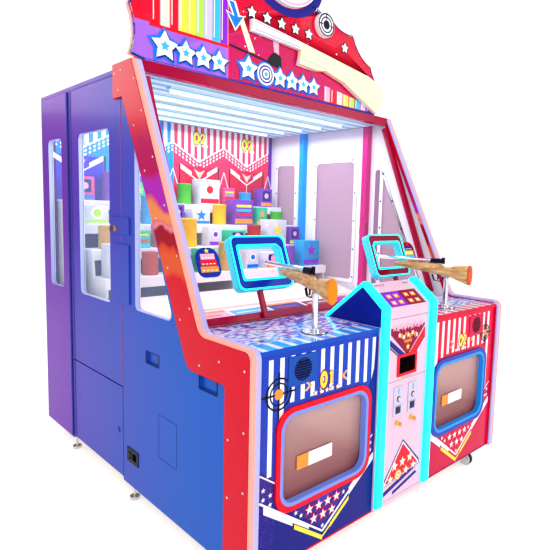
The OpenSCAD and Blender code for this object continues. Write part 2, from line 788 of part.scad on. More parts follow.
module ceiling_lights() placed() {
  color("white") union() {
    span([-case_in + 2, 822, 1841], [case_in - 2, 1850, 1849]);
    for (y = [949:176:1660]) span([-570, y - 26, 1834], [570, y + 26, 1842]);
  }
  color("azure") for (y = [949:176:1660]) translate([0, y, 1824]) rod_x(10, -560, 560);
}

crest = [-45, crest_top_z - 207];

// An edge that runs from tip to tip in hollow curves, each as deep as dent times its length.
function burst(tips, dent = 0.24, n = 5) = [for (i = [0:len(tips) - 2])
  let (a = tips[i], b = tips[i + 1], mid = (a + b) / 2 + dent * 2 * [a[1] - b[1], b[0] - a[0]] / 2)
  for (k = [0:n - 1]) let (t = k / n) (1 - t) * (1 - t) * a + 2 * t * (1 - t) * mid + t * t * b];

// Outline of the sign board, anticlockwise from its lower left corner.
marquee_line = concat([[-770, 1880], [655, 1880]], burst([[668, 1925], [722, 2030], [605, 2142],
  [447, 2277], [262, 2330]]), burst([[-262, 2440], [-470, 2500], [-700, 2400], [-800, 2260],
  [-838, 2080], [-835, 1893]], 0.2), [[-835, 1893]]);

// Outline of the raised rifle, from the muzzle along its underside to the butt and back.
rifle_line = [[-258, 2119], [42, 2105], [33, 2035], [150, 2028], [221, 2038], [364, 2006],
  [641, 1885], [700, 1960], [676, 2047], [554, 2079], [63, 2138], [7, 2144], [-258, 2173]];

module marquee() placed() {
  color("firebrick") front_slab(770, 792) {
    polygon(marquee_line);
    translate(crest) scale([1.22, 1]) circle(r = 207);
  }
  color("ivory") front_slab(744, 770) {
    polygon(rifle_line);
    translate(crest) scale([1.2, 1]) circle(r = 158);
    translate([212, 2267]) circle(r = 60);
  }
}

module electronics() placed() {
  color("silver") span([-180, 760, deck_z + 12], [20, 900, deck_z + 62]);
  color("green") span([60, 740, deck_z + 20], [260, 900, deck_z + 23]);
  color("gray") for (x = [70, 250]) for (y = [750, 890])
    translate([x, y, 0]) rod_z(4, deck_z + 12, deck_z + 20);
}

steel_frame();
leveling_feet();
floor_deck();
side_shell_left();
side_shell_right();
back_panel();
roof_panel();
cheek_left();
cheek_right();
cheek_mouldings();
front_panels();
prize_bezels();
prize_chutes();
counter_top();
speakers();
tower_body();
led_strips();
cork_pocket();
coin_acceptors();
gun_posts();
windshield();
windshield_frame();
aim_frames();
shelves();
prizes();
back_graphics();
ceiling_lights();
marquee();
electronics();
cash_box();
cork_hopper();
power_plate();
caster_fork_left();
caster_fork_right();
caster_wheel_left();
caster_wheel_right();
door_upper_left();
door_upper_right();
door_lower_left();
door_lower_right();
door_lock_left();
door_lock_right();
prize_flap_left();
prize_flap_right();
tower_lid();
tower_door();
reject_button_left();
reject_button_right();
tower_lock_left();
tower_lock_right();
yoke_left();
yoke_right();
stock_left();
stock_right();
barrel_left();
barrel_right();
trigger_left();
trigger_right();
cork_agitator();
power_switch();
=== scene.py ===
import bpy, bmesh, json, math, random
from mathutils import Matrix, Vector


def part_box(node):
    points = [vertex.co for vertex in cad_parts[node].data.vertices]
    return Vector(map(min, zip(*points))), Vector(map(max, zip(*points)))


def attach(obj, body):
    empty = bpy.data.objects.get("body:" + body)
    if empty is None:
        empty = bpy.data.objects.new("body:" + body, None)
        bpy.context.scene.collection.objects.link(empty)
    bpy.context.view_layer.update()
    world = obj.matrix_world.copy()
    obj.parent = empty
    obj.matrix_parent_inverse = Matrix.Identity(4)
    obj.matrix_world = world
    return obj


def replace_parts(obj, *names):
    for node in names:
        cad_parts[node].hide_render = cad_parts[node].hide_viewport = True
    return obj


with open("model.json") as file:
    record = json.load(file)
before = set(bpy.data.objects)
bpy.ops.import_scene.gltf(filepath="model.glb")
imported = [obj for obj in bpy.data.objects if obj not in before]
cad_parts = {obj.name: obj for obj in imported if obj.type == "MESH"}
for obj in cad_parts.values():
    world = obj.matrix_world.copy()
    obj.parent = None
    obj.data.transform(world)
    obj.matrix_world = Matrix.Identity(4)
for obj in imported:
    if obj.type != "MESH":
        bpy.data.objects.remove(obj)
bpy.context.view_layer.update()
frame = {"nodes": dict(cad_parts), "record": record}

BODY_OF = {n: b for b, ns in frame["record"]["behaviour"]["bodies"].items() for n in ns}
SLOT_OF = {s["node"]: s["material_slot"] for s in frame["record"]["subparts"]}
JOINT = {j["name"]: j for j in frame["record"]["behaviour"]["joints"]}
MERGE = 2e-5
random.seed(7)


# ---------------------------------------------------------------- materials

class Field:
    """One value of a material's node tree, with arithmetic that adds Math nodes."""

    def __init__(self, tree, out):
        self.tree, self.out = tree, out

    def math(self, kind, *rest):
        node = self.tree.nodes.new("ShaderNodeMath")
        node.operation = kind
        for i, v in enumerate((self,) + rest):
            if isinstance(v, Field):
                self.tree.links.new(v.out, node.inputs[i])
            else:
                node.inputs[i].default_value = v
        return Field(self.tree, node.outputs[0])

    def __add__(self, v): return self.math("ADD", v)
    def __sub__(self, v): return self.math("SUBTRACT", v)
    def __mul__(self, v): return self.math("MULTIPLY", v)
    def over(self, v): return self.math("GREATER_THAN", v)
    def under(self, v): return self.math("LESS_THAN", v)
    def between(self, a, b): return self.over(a) * self.under(b)
    def wrap(self, step): return self.math("FLOORED_MODULO", step)
    def size(self): return self.math("ABSOLUTE")
    def either(self, v): return self.math("MAXIMUM", v)
    def soft(self, a, b, s): return self.ramp(a - s, a + s) * self.ramp(b + s, b - s)
    def ramp(self, a, b): return ((self - a) * (1 / (b - a))).math("MINIMUM", 1.0).math("MAXIMUM", 0.0)


class Paint:
    """A surface whose colour is built up in layers over its own x, y and z in metres."""

    def __init__(self, name, rough=0.4, metal=0.0, coat=0.0, alpha=1.0, spec=0.12):
        self.mat = bpy.data.materials.new(name)
        self.mat.use_nodes = True
        self.tree = self.mat.node_tree
        self.bsdf = self.tree.nodes["Principled BSDF"]
        self.bsdf.inputs["Metallic"].default_value = metal
        self.bsdf.inputs["Coat Weight"].default_value = coat
        self.bsdf.inputs["Coat Roughness"].default_value = 0.08
        self.bsdf.inputs["Alpha"].default_value = alpha
        self.bsdf.inputs["Specular IOR Level"].default_value = spec
        self.rough = rough
        self.where = self.tree.nodes.new("ShaderNodeTexCoord").outputs["Object"]
        split = self.tree.nodes.new("ShaderNodeSeparateXYZ")
        self.tree.links.new(self.where, split.inputs[0])
        self.x, self.y, self.z = (Field(self.tree, o) for o in split.outputs)
        self.colour = None

    def noise(self, scale, detail=3.0, stretch=None, kind="noise"):
        where = self.where
        if stretch:
            m = self.tree.nodes.new("ShaderNodeMapping")
            m.inputs["Scale"].default_value = stretch
            self.tree.links.new(where, m.inputs["Vector"])
            where = m.outputs[0]
        if kind == "cells":
            n = self.tree.nodes.new("ShaderNodeTexVoronoi")
            n.inputs["Scale"].default_value = scale
            self.tree.links.new(where, n.inputs["Vector"])
            return Field(self.tree, n.outputs["Distance"])
        n = self.tree.nodes.new("ShaderNodeTexNoise")
        n.inputs["Scale"].default_value = scale
        n.inputs["Detail"].default_value = detail
        self.tree.links.new(where, n.inputs["Vector"])
        return Field(self.tree, n.outputs[0])

    def fill(self, rgb, mask=None):
        """Lays a colour over what is there, where mask is 1."""
        if self.colour is None:
            self.colour = tuple(rgb)
            return self
        n = self.tree.nodes.new("ShaderNodeMix")
        n.data_type = "RGBA"
        for socket, v in ((n.inputs[6], self.colour), (n.inputs[7], rgb)):
            if isinstance(v, tuple):
                socket.default_value = (*v[:3], 1)
            else:
                self.tree.links.new(v, socket)
        self.tree.links.new(mask.out, n.inputs[0])
        self.colour = n.outputs[2]
        return self

    def done(self, vary=0.06, scale=9.0, bump=0.02, grain=180.0, glow=0.0, stretch=None, depth=0.0006):
        """Adds colour variation, an uneven roughness and a fine bump, and gives the material."""
        cloud = self.noise(scale, 4.0, stretch)
        hsv = self.tree.nodes.new("ShaderNodeHueSaturation")
        if isinstance(self.colour, tuple):
            hsv.inputs["Color"].default_value = (*self.colour, 1)
        else:
            self.tree.links.new(self.colour, hsv.inputs["Color"])
        self.tree.links.new((cloud * (2 * vary) + (1 - vary)).out, hsv.inputs["Value"])
        self.tree.links.new(hsv.outputs[0], self.bsdf.inputs["Base Color"])
        fine = self.noise(grain, 2.0, stretch)
        self.tree.links.new((fine * 0.12 + cloud * 0.1 + (self.rough - 0.11)).out,
                            self.bsdf.inputs["Roughness"])
        b = self.tree.nodes.new("ShaderNodeBump")
        b.inputs["Strength"].default_value = min(1.0, bump * 10)
        b.inputs["Distance"].default_value = depth
        self.tree.links.new(fine.out, b.inputs["Height"])
        self.tree.links.new(b.outputs[0], self.bsdf.inputs["Normal"])
        if glow:
            self.tree.links.new(hsv.outputs[0], self.bsdf.inputs["Emission Color"])
            self.bsdf.inputs["Emission Strength"].default_value = glow
        return self.mat


def plain(name, rgb, rough=0.4, metal=0.0, coat=0.0, alpha=1.0, spec=0.14, **k):
    return Paint(name, rough, metal, coat, alpha, spec).fill(rgb).done(**k)


# ---------------------------------------------------------------- mesh helpers

def as_object(name, bm):
    """Turns a bmesh into a mesh object in the scene, and frees it."""
    mesh = bpy.data.meshes.new(name)
    bm.to_mesh(mesh)
    bm.free()
    obj = bpy.data.objects.new(name, mesh)
    bpy.context.scene.collection.objects.link(obj)
    return obj


def smooth(mesh, angle):
    mesh.polygons.foreach_set("use_smooth", [True] * len(mesh.polygons))
    mesh.set_sharp_from_angle(angle=math.radians(angle))


def piece(name, bm, body, slot, mats, angle=None):
    """Adds a bmesh as one piece of a body; angle smooths the edges flatter than it."""
    obj = as_object(name, bm)
    for m in mats:
        obj.data.materials.append(m)
    if angle:
        smooth(obj.data, angle)
    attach(obj, body)
    return obj


def bmesh_of(mesh, merge=False):
    bm = bmesh.new()
    bm.from_mesh(mesh)
    if merge:
        bmesh.ops.remove_doubles(bm, verts=bm.verts, dist=MERGE)
    return bm


def put_back(bm, mesh):
    bm.to_mesh(mesh)
    bm.free()


def join_rings(bm, rings):
    """Closes the space between each ring of vertices and the next with four-sided faces."""
    for a, b in zip(rings, rings[1:]):
        for k in range(len(a)):
            j = (k + 1) % len(a)
            bm.faces.new((a[k], a[j], b[j], b[k]))


def fit_cube(verts, low, high, m=None):
    """Stretches a unit cube to the box from low to high, in the frame m if one is given."""
    for v in verts:
        at = Vector([(low[i] + high[i]) / 2 + v.co[i] * (high[i] - low[i]) for i in range(3)])
        v.co = m @ at if m else at


def bake_modifiers(obj):
    """Applies an object's modifiers to its mesh."""
    shot = bpy.data.meshes.new_from_object(obj.evaluated_get(bpy.context.evaluated_depsgraph_get()))
    old = obj.data
    obj.modifiers.clear()
    obj.data = shot
    bpy.data.meshes.remove(old)


def refined(node, mats, width=0.0015, segs=2, pick=None):
    """A copy of a CAD node with rounded edges, which stands for the node."""
    bm = bmesh_of(frame["nodes"][node].data, True)
    bmesh.ops.dissolve_limit(bm, angle_limit=math.radians(0.6), verts=bm.verts, edges=bm.edges)
    obj = piece(node + "_skin", bm, BODY_OF[node], SLOT_OF[node], mats, 40)
    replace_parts(obj, node)
    if width:
        b = obj.modifiers.new("edges", "BEVEL")
        b.width, b.segments, b.limit_method = width, segs, "ANGLE"
        b.angle_limit = math.radians(40)
        b.use_clamp_overlap = True
    obj.modifiers.new("normals", "WEIGHTED_NORMAL").keep_sharp = True
    bake_modifiers(obj)
    if pick:
        for p in obj.data.polygons:
            p.material_index = pick(p.center, p.normal)
    return obj


def both_sides(*names):
    return [name + side for name in names for side in ("_left", "_right")]


# ---------------------------------------------------------------- places, all from the frame

def lo(node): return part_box(node)[0]
def hi(node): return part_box(node)[1]


HALF_W = hi("cheek_right").x
SHELL_OUT = hi("roof_panel").x
FRONT = lo("front_panels").y
COUNTER = hi("counter_top").z
LEAN = math.radians(22.4)
FOOT = Vector((0, lo("windshield").y - 0.003 * math.sin(LEAN),
               lo("windshield").z + 0.006 * math.sin(LEAN) - 0.003 * math.cos(LEAN)))
UP = Vector((0, math.sin(LEAN), math.cos(LEAN)))
OUT = Vector((0, -math.cos(LEAN), math.sin(LEAN)))


def on_screen(x, out, s):
    """A point of the leaning screen: x across, out from its front face, s up the slope."""
    return Vector((x, 0, 0)) + FOOT + OUT * out + UP * s


# ---------------------------------------------------------------- surfaces

side_blue = Paint("side_blue", 0.3, coat=0.08).fill((0.01, 0.11, 0.50))
side_blue.fill((0.07, 0.03, 0.42), side_blue.y.ramp(-0.55, 0.65))
side_blue.fill((0.14, 0.02, 0.42), side_blue.z.ramp(0.8, 2.0) * side_blue.y.ramp(-0.5, 0.5))
side_blue.fill((0.16, 0.01, 0.40), side_blue.y.over(FRONT + 1.4985))
side_blue = side_blue.done(vary=0.07, scale=2.5, bump=0.02)
crimson = plain("crimson", (0.38, 0.0, 0.045), 0.25, coat=0.10, vary=0.08, scale=5)
salmon = Paint("moulding", 0.3, coat=0.07).fill((0.95, 0.40, 0.33))
salmon.fill((0.50, 0.45, 0.80), salmon.x.size().under(HALF_W - 0.019))
salmon = salmon.done(vary=0.05, scale=6)
steel = plain("frame_steel", (0.10, 0.10, 0.11), 0.5, metal=0.2, vary=0.15, scale=25, bump=0.05)
zinc = plain("zinc", (0.62, 0.63, 0.66), 0.35, metal=1.0, vary=0.12, scale=60, bump=0.03)
chrome = plain("chrome", (0.83, 0.83, 0.86), 0.14, metal=1.0, vary=0.04, scale=30, bump=0.004)
board = plain("board", (0.55, 0.40, 0.24), 0.7, vary=0.2, scale=6, stretch=(12, 1, 1), bump=0.05)
# chute liner: it glows though it is no lamp, painted light; it turns dark red towards the bottom of the
# chute, painted shade
chute = Paint("chute_liner", 0.5).fill((0.80, 0.58, 0.58))
chute.fill((0.30, 0.0, 0.03), chute.z.ramp(0.40, 0.33))
chute = chute.done(vary=0.06, scale=6, glow=0.30)
black = plain("black", (0.015, 0.015, 0.018), 0.4, vary=0.2, scale=40)
clear = plain("clear_sheet", (0.85, 0.93, 1.0), 0.12, alpha=0.03, vary=0.02, scale=3, bump=0.002)
pane = plain("side_pane", (0.75, 0.88, 1.0), 0.12, alpha=0.10, vary=0.02, scale=3, bump=0.002)
pane_mauve = plain("side_pane_mauve", (0.46, 0.26, 0.40), 0.12, alpha=0.62, vary=0.10, scale=2, bump=0.002)
# smoked flap: lighter towards the top, painted light on the sheet
smoke = Paint("smoked_flap", 0.15, alpha=0.52).fill((0.42, 0.20, 0.20))
smoke.fill((0.72, 0.50, 0.46), smoke.z.ramp(0.36, 0.62))
smoke = smoke.done(vary=0.05, scale=3, bump=0.002)
glow = plain("led_cyan", (0.02, 0.93, 1.0), 0.3, vary=0.03, scale=50, glow=0.9)
tube = plain("light_tube", (0.80, 0.94, 1.0), 0.4, vary=0.03, scale=20, glow=0.45)
gold = plain("brass", (0.85, 0.58, 0.20), 0.25, metal=1.0, vary=0.1, scale=80, bump=0.01)
hopper = plain("hopper", (0.7, 0.7, 0.72), 0.5, vary=0.06, scale=20)
rubber = plain("tyre_rubber", (0.03, 0.03, 0.032), 0.7, vary=0.2, scale=60, bump=0.06)
bezel_red = plain("bezel_red", (0.86, 0.0, 0.02), 0.22, coat=0.10, vary=0.05, scale=8)

# the CAD nodes that are shown as they are; every other node is replaced further down
for n, m in (("prize_chutes", chute), ("windshield", clear), ("electronics", board),
             ("cash_box", steel), ("cork_hopper", hopper), ("cork_agitator", hopper)):
    slots = frame["nodes"][n].data.materials
    slots.clear()
    slots.append(m)

# ---------------------------------------------------------------- thin printed shapes

def oval(u, v, a, b, n=72):
    """n points around an ellipse."""
    return [(u + a * math.cos(t), v + b * math.sin(t)) for t in (2 * math.pi * k / n for k in range(n))]


def corners(u0, v0, u1, v1):
    return [(u0, v0), (u1, v0), (u1, v1), (u0, v1)]


class Prints:
    """Thin printed or glued shapes on one face, gathered by material into one piece each."""

    def __init__(self, name, body, slot, place, thick=0.0005):
        self.name, self.body, self.slot, self.place, self.thick = name, body, slot, place, thick
        self.sets = {}

    def mesh(self, mat):
        """The mesh for a material, which may be given as the name of an ink."""
        mat = ink[mat] if isinstance(mat, str) else mat
        return self.sets.setdefault(mat.name, (mat, bmesh.new()))[1]

    def poly(self, mat, pts, level=1):
        """A closed outline of (u, v) points, as a thin prism level layers above the face."""
        bm = self.mesh(mat)
        area = sum(a[0] * b[1] - b[0] * a[1] for a, b in zip(pts, pts[1:] + pts[:1]))
        if area < 0:
            pts = pts[::-1]
        front = [bm.verts.new(self.place(u, v, level * self.thick)) for u, v in pts]
        back = [bm.verts.new(self.place(u, v, -self.thick)) for u, v in pts]
        bm.faces.new(front)
        bm.faces.new(back[::-1])
        for i in range(len(pts)):
            j = (i + 1) % len(pts)
            bm.faces.new((front[i], back[i], back[j], front[j]))

    def box(self, mat, u0, v0, u1, v1, level=1):
        self.poly(mat, corners(u0, v0, u1, v1), level)

    def strip(self, mat, outer, inner, level=1):
        """The closed band between two outlines of the same length."""
        for i in range(len(outer)):
            j = (i + 1) % len(outer)
            self.poly(mat, [outer[i], outer[j], inner[j], inner[i]], level)

    def disc(self, mat, u, v, r, level=1, n=40):
        self.poly(mat, oval(u, v, r, r, n), level)

    def ring(self, mat, u, v, r, w, level=1, n=40, squash=1.0):
        """A ring w wide inside the radius r; squash stretches it along v."""
        self.strip(mat, oval(u, v, r, r * squash, n), oval(u, v, r - w, (r - w) * squash, n), level)

    def star(self, mat, u, v, r, level=1, turn=0.0, inner=0.42):
        """A five-pointed star; inner is the depth of its notches."""
        self.poly(mat, [(u + k * math.sin(t), v + k * math.cos(t)) for t, k in
                        ((turn + math.pi * i / 5, r if i % 2 == 0 else r * inner)
                         for i in range(10))], level)

    def star_row(self, mat, mid, v, r, level):
        """Five small stars, side by side."""
        for k in range(5):
            self.star(mat, mid - 0.056 + 0.028 * k, v, r, level)

    def line(self, mat, a, b, w, level=1):
        a, b = Vector(a), Vector(b)
        side = (b - a).normalized()
        side = Vector((-side.y, side.x)) * (w / 2)
        self.poly(mat, [tuple(p) for p in (a - side, b - side, b + side, a + side)], level)

    def stroke(self, mat, pts, w, level=1):
        """A bent line with round corners."""
        for i, (a, b) in enumerate(zip(pts, pts[1:])):
            self.line(mat, a, b, w, level + 0.02 * i)
        for p in pts[1:-1]:
            self.disc(mat, p[0], p[1], w / 2, level + 0.01, 16)

    def digits(self, text, fill, edge, u, v, h, level=1):
        """Station numbers, drawn as thick strokes with a dark edge."""
        w, gap = h * 0.55, h * 0.78
        shapes = {"0": None, "1": [(-0.35, 0.55), (0.1, 0.9), (0.1, -0.95)],
                  "2": [(-0.8, 0.5), (-0.45, 0.95), (0.4, 0.95), (0.75, 0.45), (0.5, 0.0),
                        (-0.75, -0.9), (0.85, -0.9)]}
        for k, c in enumerate(text):
            cu = u + (k - (len(text) - 1) / 2) * gap
            for m, extra, up in ((edge, h * 0.13, 0), (fill, 0, 1)):
                if shapes[c] is None:
                    self.ring(m, cu, v, w / 2 + h * 0.11 + extra / 2, h * 0.22 + extra, level + up,
                              32, 1.75)
                else:
                    self.stroke(m, [(cu + a * w / 2, v + b * h / 2) for a, b in shapes[c]],
                                h * 0.22 + extra, level + up)

    def finish(self):
        for key, (mat, bm) in self.sets.items():
            piece(f"{self.name}_{key}", bm, self.body, self.slot, [mat])


def front_face(y):
    return lambda u, v, out: Vector((u, y - out, v))


ink = {k: plain("ink_" + k, c, 0.35, coat=0.05, vary=0.05, scale=20) for k, c in {
    "white": (0.93, 0.90, 0.94), "yellow": (0.98, 0.78, 0.08), "navy": (0.02, 0.02, 0.26),
    "red": (0.86, 0.01, 0.03), "black": (0.01, 0.01, 0.02), "blue": (0.01, 0.22, 0.85),
    "orange": (0.95, 0.32, 0.05), "sky": (0.05, 0.50, 0.95), "purple": (0.28, 0.02, 0.65),
    "green": (0.45, 0.78, 0.10), "pink": (0.95, 0.45, 0.60), "cream": (0.95, 0.86, 0.62),
    "grey": (0.45, 0.42, 0.50), "maroon": (0.30, 0.0, 0.05), "lilac": (0.62, 0.55, 0.90)}.items()}


# ---------------------------------------------------------------- front panels

PITCH, STRIPE_TOP, STRIPE_LOW = 0.04715, 0.825, 0.664
PRIZE_X, PRIZE_Z = 0.462, 0.462
front_print = Paint("front_print", 0.26, coat=0.10)
front_print.fill((0.015, 0.06, 0.46))
is_right = front_print.x.over(0.0)
front_print.fill((0.72, 0.0, 0.05), is_right)
edge_z = (front_print.x.size() - 0.469).size() * 0.76 + 0.150
below = front_print.z.under(0.99) * (front_print.z - edge_z).under(0.0)
front_print.fill((0.012, 0.012, 0.22), below)
front_print.fill((0.62, 0.0, 0.06), below * is_right)
stars_zone = (front_print.z - edge_z).between(0.0, 0.085)
dots = front_print.noise(170, kind="cells")
front_print.fill((0.045, 0.02, 0.22), stars_zone)
front_print.fill((0.55, 0.0, 0.06), stars_zone * is_right)
halftone = (front_print.x.size().over(0.70) * front_print.z.under(0.62)).either(stars_zone)
front_print.fill((0.10, 0.04, 0.36), halftone * dots.under(0.32) * front_print.x.under(0.0))
front_print.fill((0.85, 0.05, 0.12), halftone * dots.under(0.32) * is_right)
front_print = front_print.done(vary=0.05, scale=5)


def station(sign, number, dark, bar):
    p = Prints("station_print_" + number, "root", "printed_front", front_face(FRONT))
    left = -0.738 if sign < 0 else 0.1375
    for k in range(13):
        u0 = left + k * PITCH
        u1 = u0 + 0.0185
        a = min(abs(u0), abs(u1))
        if a < 0.195 and sign < 0 or a < 0.185 or a > 0.765:
            continue
        speaker = 0.523 < (abs(u0) + abs(u1)) / 2 < 0.655
        far = abs(u0) > 0.70
        low = 0.43 if far else (0.50 if abs(u0) < 0.24 else STRIPE_LOW)
        if 0.66 < abs(u0) < 0.70:
            low = 0.618
        if 0.24 < abs(u0) < 0.30:
            low = 0.655
        if speaker:
            p.box("white", u0, 0.822, u1, STRIPE_TOP)
            p.box("white", u0, low, u1, 0.716)
        else:
            p.box("white", u0, low, u1, STRIPE_TOP)
    mid = -0.469 if sign < 0 else 0.464
    outer, inner = (-0.768, -0.190) if sign < 0 else (0.761, 0.190)
    tip = (mid, 0.133)
    # the broken white chevron and the yellow one under it
    lefty = outer if sign < 0 else inner
    righty = inner if sign < 0 else outer

    def slope(u, up=0.0):
        return 0.140 + abs(u - mid) * 0.712 + up

    def band(u0, u1, shift, width, mat, level=2):
        p.poly(mat, [(u0, slope(u0) + shift), (u1, slope(u1) + shift),
                     (u1, slope(u1) + shift - width), (u0, slope(u0) + shift - width)], level)

    p.line("white", (lefty, slope(lefty)), tip, 0.007, 2)
    p.line("white", (righty, slope(righty)), tip, 0.009, 2)
    band(lefty + 0.018, mid - 0.150, -0.006, 0.026, "white", 3)
    band(mid - 0.150, mid - 0.070, -0.004, 0.016, "white", 3)
    band(mid + 0.140, righty, 0.012, 0.030, "white", 3)
    band(mid - 0.141, mid, -0.024, 0.018, "yellow")
    band(mid + 0.040, mid + 0.140, -0.022, 0.016, "yellow", 3)
    band(mid, mid + 0.060, -0.026, 0.008, "yellow")
    p.poly("black", [(mid - 0.150, slope(mid - 0.150) - 0.032), (mid, 0.105), (mid, 0.112),
                          (mid - 0.150, slope(mid - 0.150) - 0.020)], 1)
    p.line("white", (lefty, slope(lefty, 0.094)), (lefty + 0.075, slope(lefty + 0.075, 0.094)), 0.005, 2)
    p.line("white", (righty, slope(righty, 0.094)), (righty - 0.045, slope(righty - 0.045, 0.094)), 0.005,
           2)
    for u, dz in ((lefty + 0.016, 0.05), (lefty + 0.046, 0.045), (lefty + 0.016, 0.018),
                  (lefty + 0.046, 0.012), (righty - 0.020, 0.07), (righty - 0.036, 0.050),
                  (righty - 0.020, 0.040), (mid - 0.135, 0.020), (mid - 0.110, 0.018),
                  (mid + 0.125, 0.052), (mid + 0.105, 0.060), (mid + 0.110, 0.026), (mid, 0.014)):
        if slope(u) + dz < 0.272 or abs(u - mid) > 0.245:
            p.star("white", u, slope(u) + dz, 0.0095, 2)
    # two rows of stars, where the real cabinet has a name
    for row, (z, half) in enumerate(((0.243, 0.070), (0.200, 0.047))):
        for k in range(4 - row):
            u = mid - half + (2 * half) * k / (3 - row)
            p.star("red", u, z, 0.0255, 3)
            p.star("white", u, z, 0.0185, 4)
    # target, number and arrows
    tu, tv = (-0.694, 0.704) if sign < 0 else (0.684, 0.718)
    tr = 0.056 if sign < 0 else 0.044
    p.disc("orange", tu, tv, tr * 0.34, 2)
    p.ring("black", tu, tv, tr, 0.006, 3)
    p.ring("black", tu, tv, tr * 0.70, 0.005, 3)
    for a, b in (((tu - tr * 1.3, tv), (tu - tr * 0.3, tv)), ((tu + tr * 0.3, tv), (tu + tr * 1.35, tv)),
                 ((tu, tv + tr * 0.3), (tu, tv + tr * 1.3)), ((tu, tv - tr * 1.5), (tu, tv - tr * 0.3))):
        p.line("black", a, b, 0.006, 3)
    p.digits(number, "yellow", "maroon", mid + 0.001, 0.712, 0.047, 3)
    for s in (-1, 1):
        au = mid + s * 0.088
        p.stroke("orange", [(au + s * 0.013, 0.722), (au - s * 0.008, 0.706), (au + s * 0.013, 0.689)],
                 0.007, 3)
        p.stroke("white", [(au + s * 0.018, 0.722), (au - s * 0.003, 0.706), (au + s * 0.018, 0.689)],
                 0.004, 2)
    p.star_row("maroon", mid, 0.671, 0.0150, 3)
    p.star_row("white", mid, 0.671, 0.0110, 4)
    # the dark band beside the tower, and the line along the bottom
    inner_band = [(sign * 0.185, 0.825), (sign * 0.200, 0.80), (sign * 0.205, 0.70), (sign * 0.232, 0.62),
                  (sign * 0.214, 0.54), (sign * 0.206, 0.44), (sign * 0.185, 0.40)]
    p.poly(dark, inner_band, 3)
    p.box(bar, sign * 0.185, 0.0905, sign * 0.778, 0.0965, 2)
    p.finish()


station(-1, "01", "navy", "red")
station(1, "02", "maroon", "maroon")
refined("front_panels", [front_print], 0.001)

# prize door frames: red outside and a blue lining on the left, the other way round on the right
blue_bezel = plain("bezel_blue", (0.02, 0.06, 0.42), 0.22, coat=0.10, vary=0.05, scale=8)
lining = plain("bezel_lining", (0.20, 0.30, 0.80), 0.3, coat=0.07, vary=0.06, scale=8)
sky_lining = plain("bezel_lining_right", (0.02, 0.30, 0.80), 0.3, coat=0.07, vary=0.06, scale=8)


def bezel_part(c, n):
    right = c.x > 0
    u, v = abs(abs(c.x) - PRIZE_X), abs(c.z - PRIZE_Z)
    lip = n.y > -0.75 and u < 0.2115 and v < 0.1555 or c.y > FRONT + 0.001
    return 2 * lip + right


bezels = refined("prize_bezels", [bezel_red, blue_bezel, lining, sky_lining], 0.0035, 3, bezel_part)
bm = bmesh_of(bezels.data)
flat = [f for f in bm.faces if f.normal.y < -0.98 and f.material_index < 2]
rim = set(bmesh.ops.inset_region(bm, faces=flat, thickness=0.013, use_even_offset=True)["faces"])
for f in rim:
    c = f.calc_center_median()
    over = Vector((max(abs(abs(c.x) - PRIZE_X) - 0.1665, 0.0), max(abs(c.z - PRIZE_Z) - 0.1105, 0.0)))
    if over.length < 0.061:
        f.material_index += 2
put_back(bm, bezels.data)
for n in both_sides("prize_flap"):
    refined(n, [smoke], 0.001, 2)
for tag, x0, x1, z0 in (("left", -0.585, -0.408, 0.397), ("right", 0.345, 0.523, 0.401)):
    p = Prints("plain_card_" + tag, "prize_flap_" + tag, "printed_front",
               front_face(lo("prize_flap_" + tag).y))
    p.box("orange", x0, z0, x0 + 0.056, z0 + 0.051, 2)
    p.box("white", x0 + 0.056, z0, x1, z0 + 0.051, 2)
    p.finish()


# ---------------------------------------------------------------- side walls and doors

SHELL_IN = SHELL_OUT - 0.018
REAR_WINDOW = (FRONT + 1.600, FRONT + 1.790, 0.872, 1.635)
DOOR_WINDOW = (FRONT + 1.027, FRONT + 1.372, 0.872, 1.635)
NEAR_WINDOW = ((FRONT + 0.787, 0.877), (FRONT + 0.478, 0.877), (FRONT + 0.787, 1.564))

bevel_lilac = plain("window_bevel", (0.50, 0.56, 0.90), 0.35, coat=0.1, vary=0.05, scale=8)
hinge_metal = plain("hinge_metal", (0.09, 0.07, 0.38), 0.35, metal=0.4, vary=0.2, scale=90, bump=0.03)
lining_white = plain("inner_wall", (0.86, 0.86, 0.93), 0.5, vary=0.03, scale=3)


def wall_part(c, n):
    """0 painted outside, 1 white inside, 2 window sheet, 3 hinge, 4 edge of a window."""
    ax, out = abs(c.x), n.x * (1 if c.x > 0 else -1)
    if ax > SHELL_OUT + 0.0004 and FRONT + 1.44 < c.y < FRONT + 1.56:
        return 3
    if ax < SHELL_IN - 0.0004 or (ax < SHELL_IN + 0.0015 and out > 0.5):
        return 2
    if out < -0.5 and ax < SHELL_IN + 0.0015:
        return 1
    near = any(a - 0.004 < c.y < b + 0.004 and 0.86 < c.z < 1.65
               for a, b in (REAR_WINDOW[:2], DOOR_WINDOW[:2], (FRONT + 0.47, FRONT + 0.789)))
    return 4 if abs(out) < 0.8 and near and ax < SHELL_OUT + 0.0004 else 0


for n in both_sides("side_shell", "door_upper", "door_lower"):
    sheet = pane if n.endswith("left") else pane_mauve
    refined(n, [side_blue, lining_white, sheet, hinge_metal, bevel_lilac], 0.0012, 2, wall_part)

side_slot = "blue_side"
trim_white = plain("window_trim", (0.90, 0.90, 0.95), 0.4, vary=0.03, scale=9)


def rounded_loop(u0, u1, v0, v1, r, n=6):
    pts = []
    for cu, cv, t0 in ((u1 - r, v0 + r, -90), (u1 - r, v1 - r, 0), (u0 + r, v1 - r, 90),
                       (u0 + r, v0 + r, 180)):
        pts += [(cu + r * math.cos(math.radians(t0 + 90 * k / n)),
                 cv + r * math.sin(math.radians(t0 + 90 * k / n))) for k in range(n + 1)]
    return pts


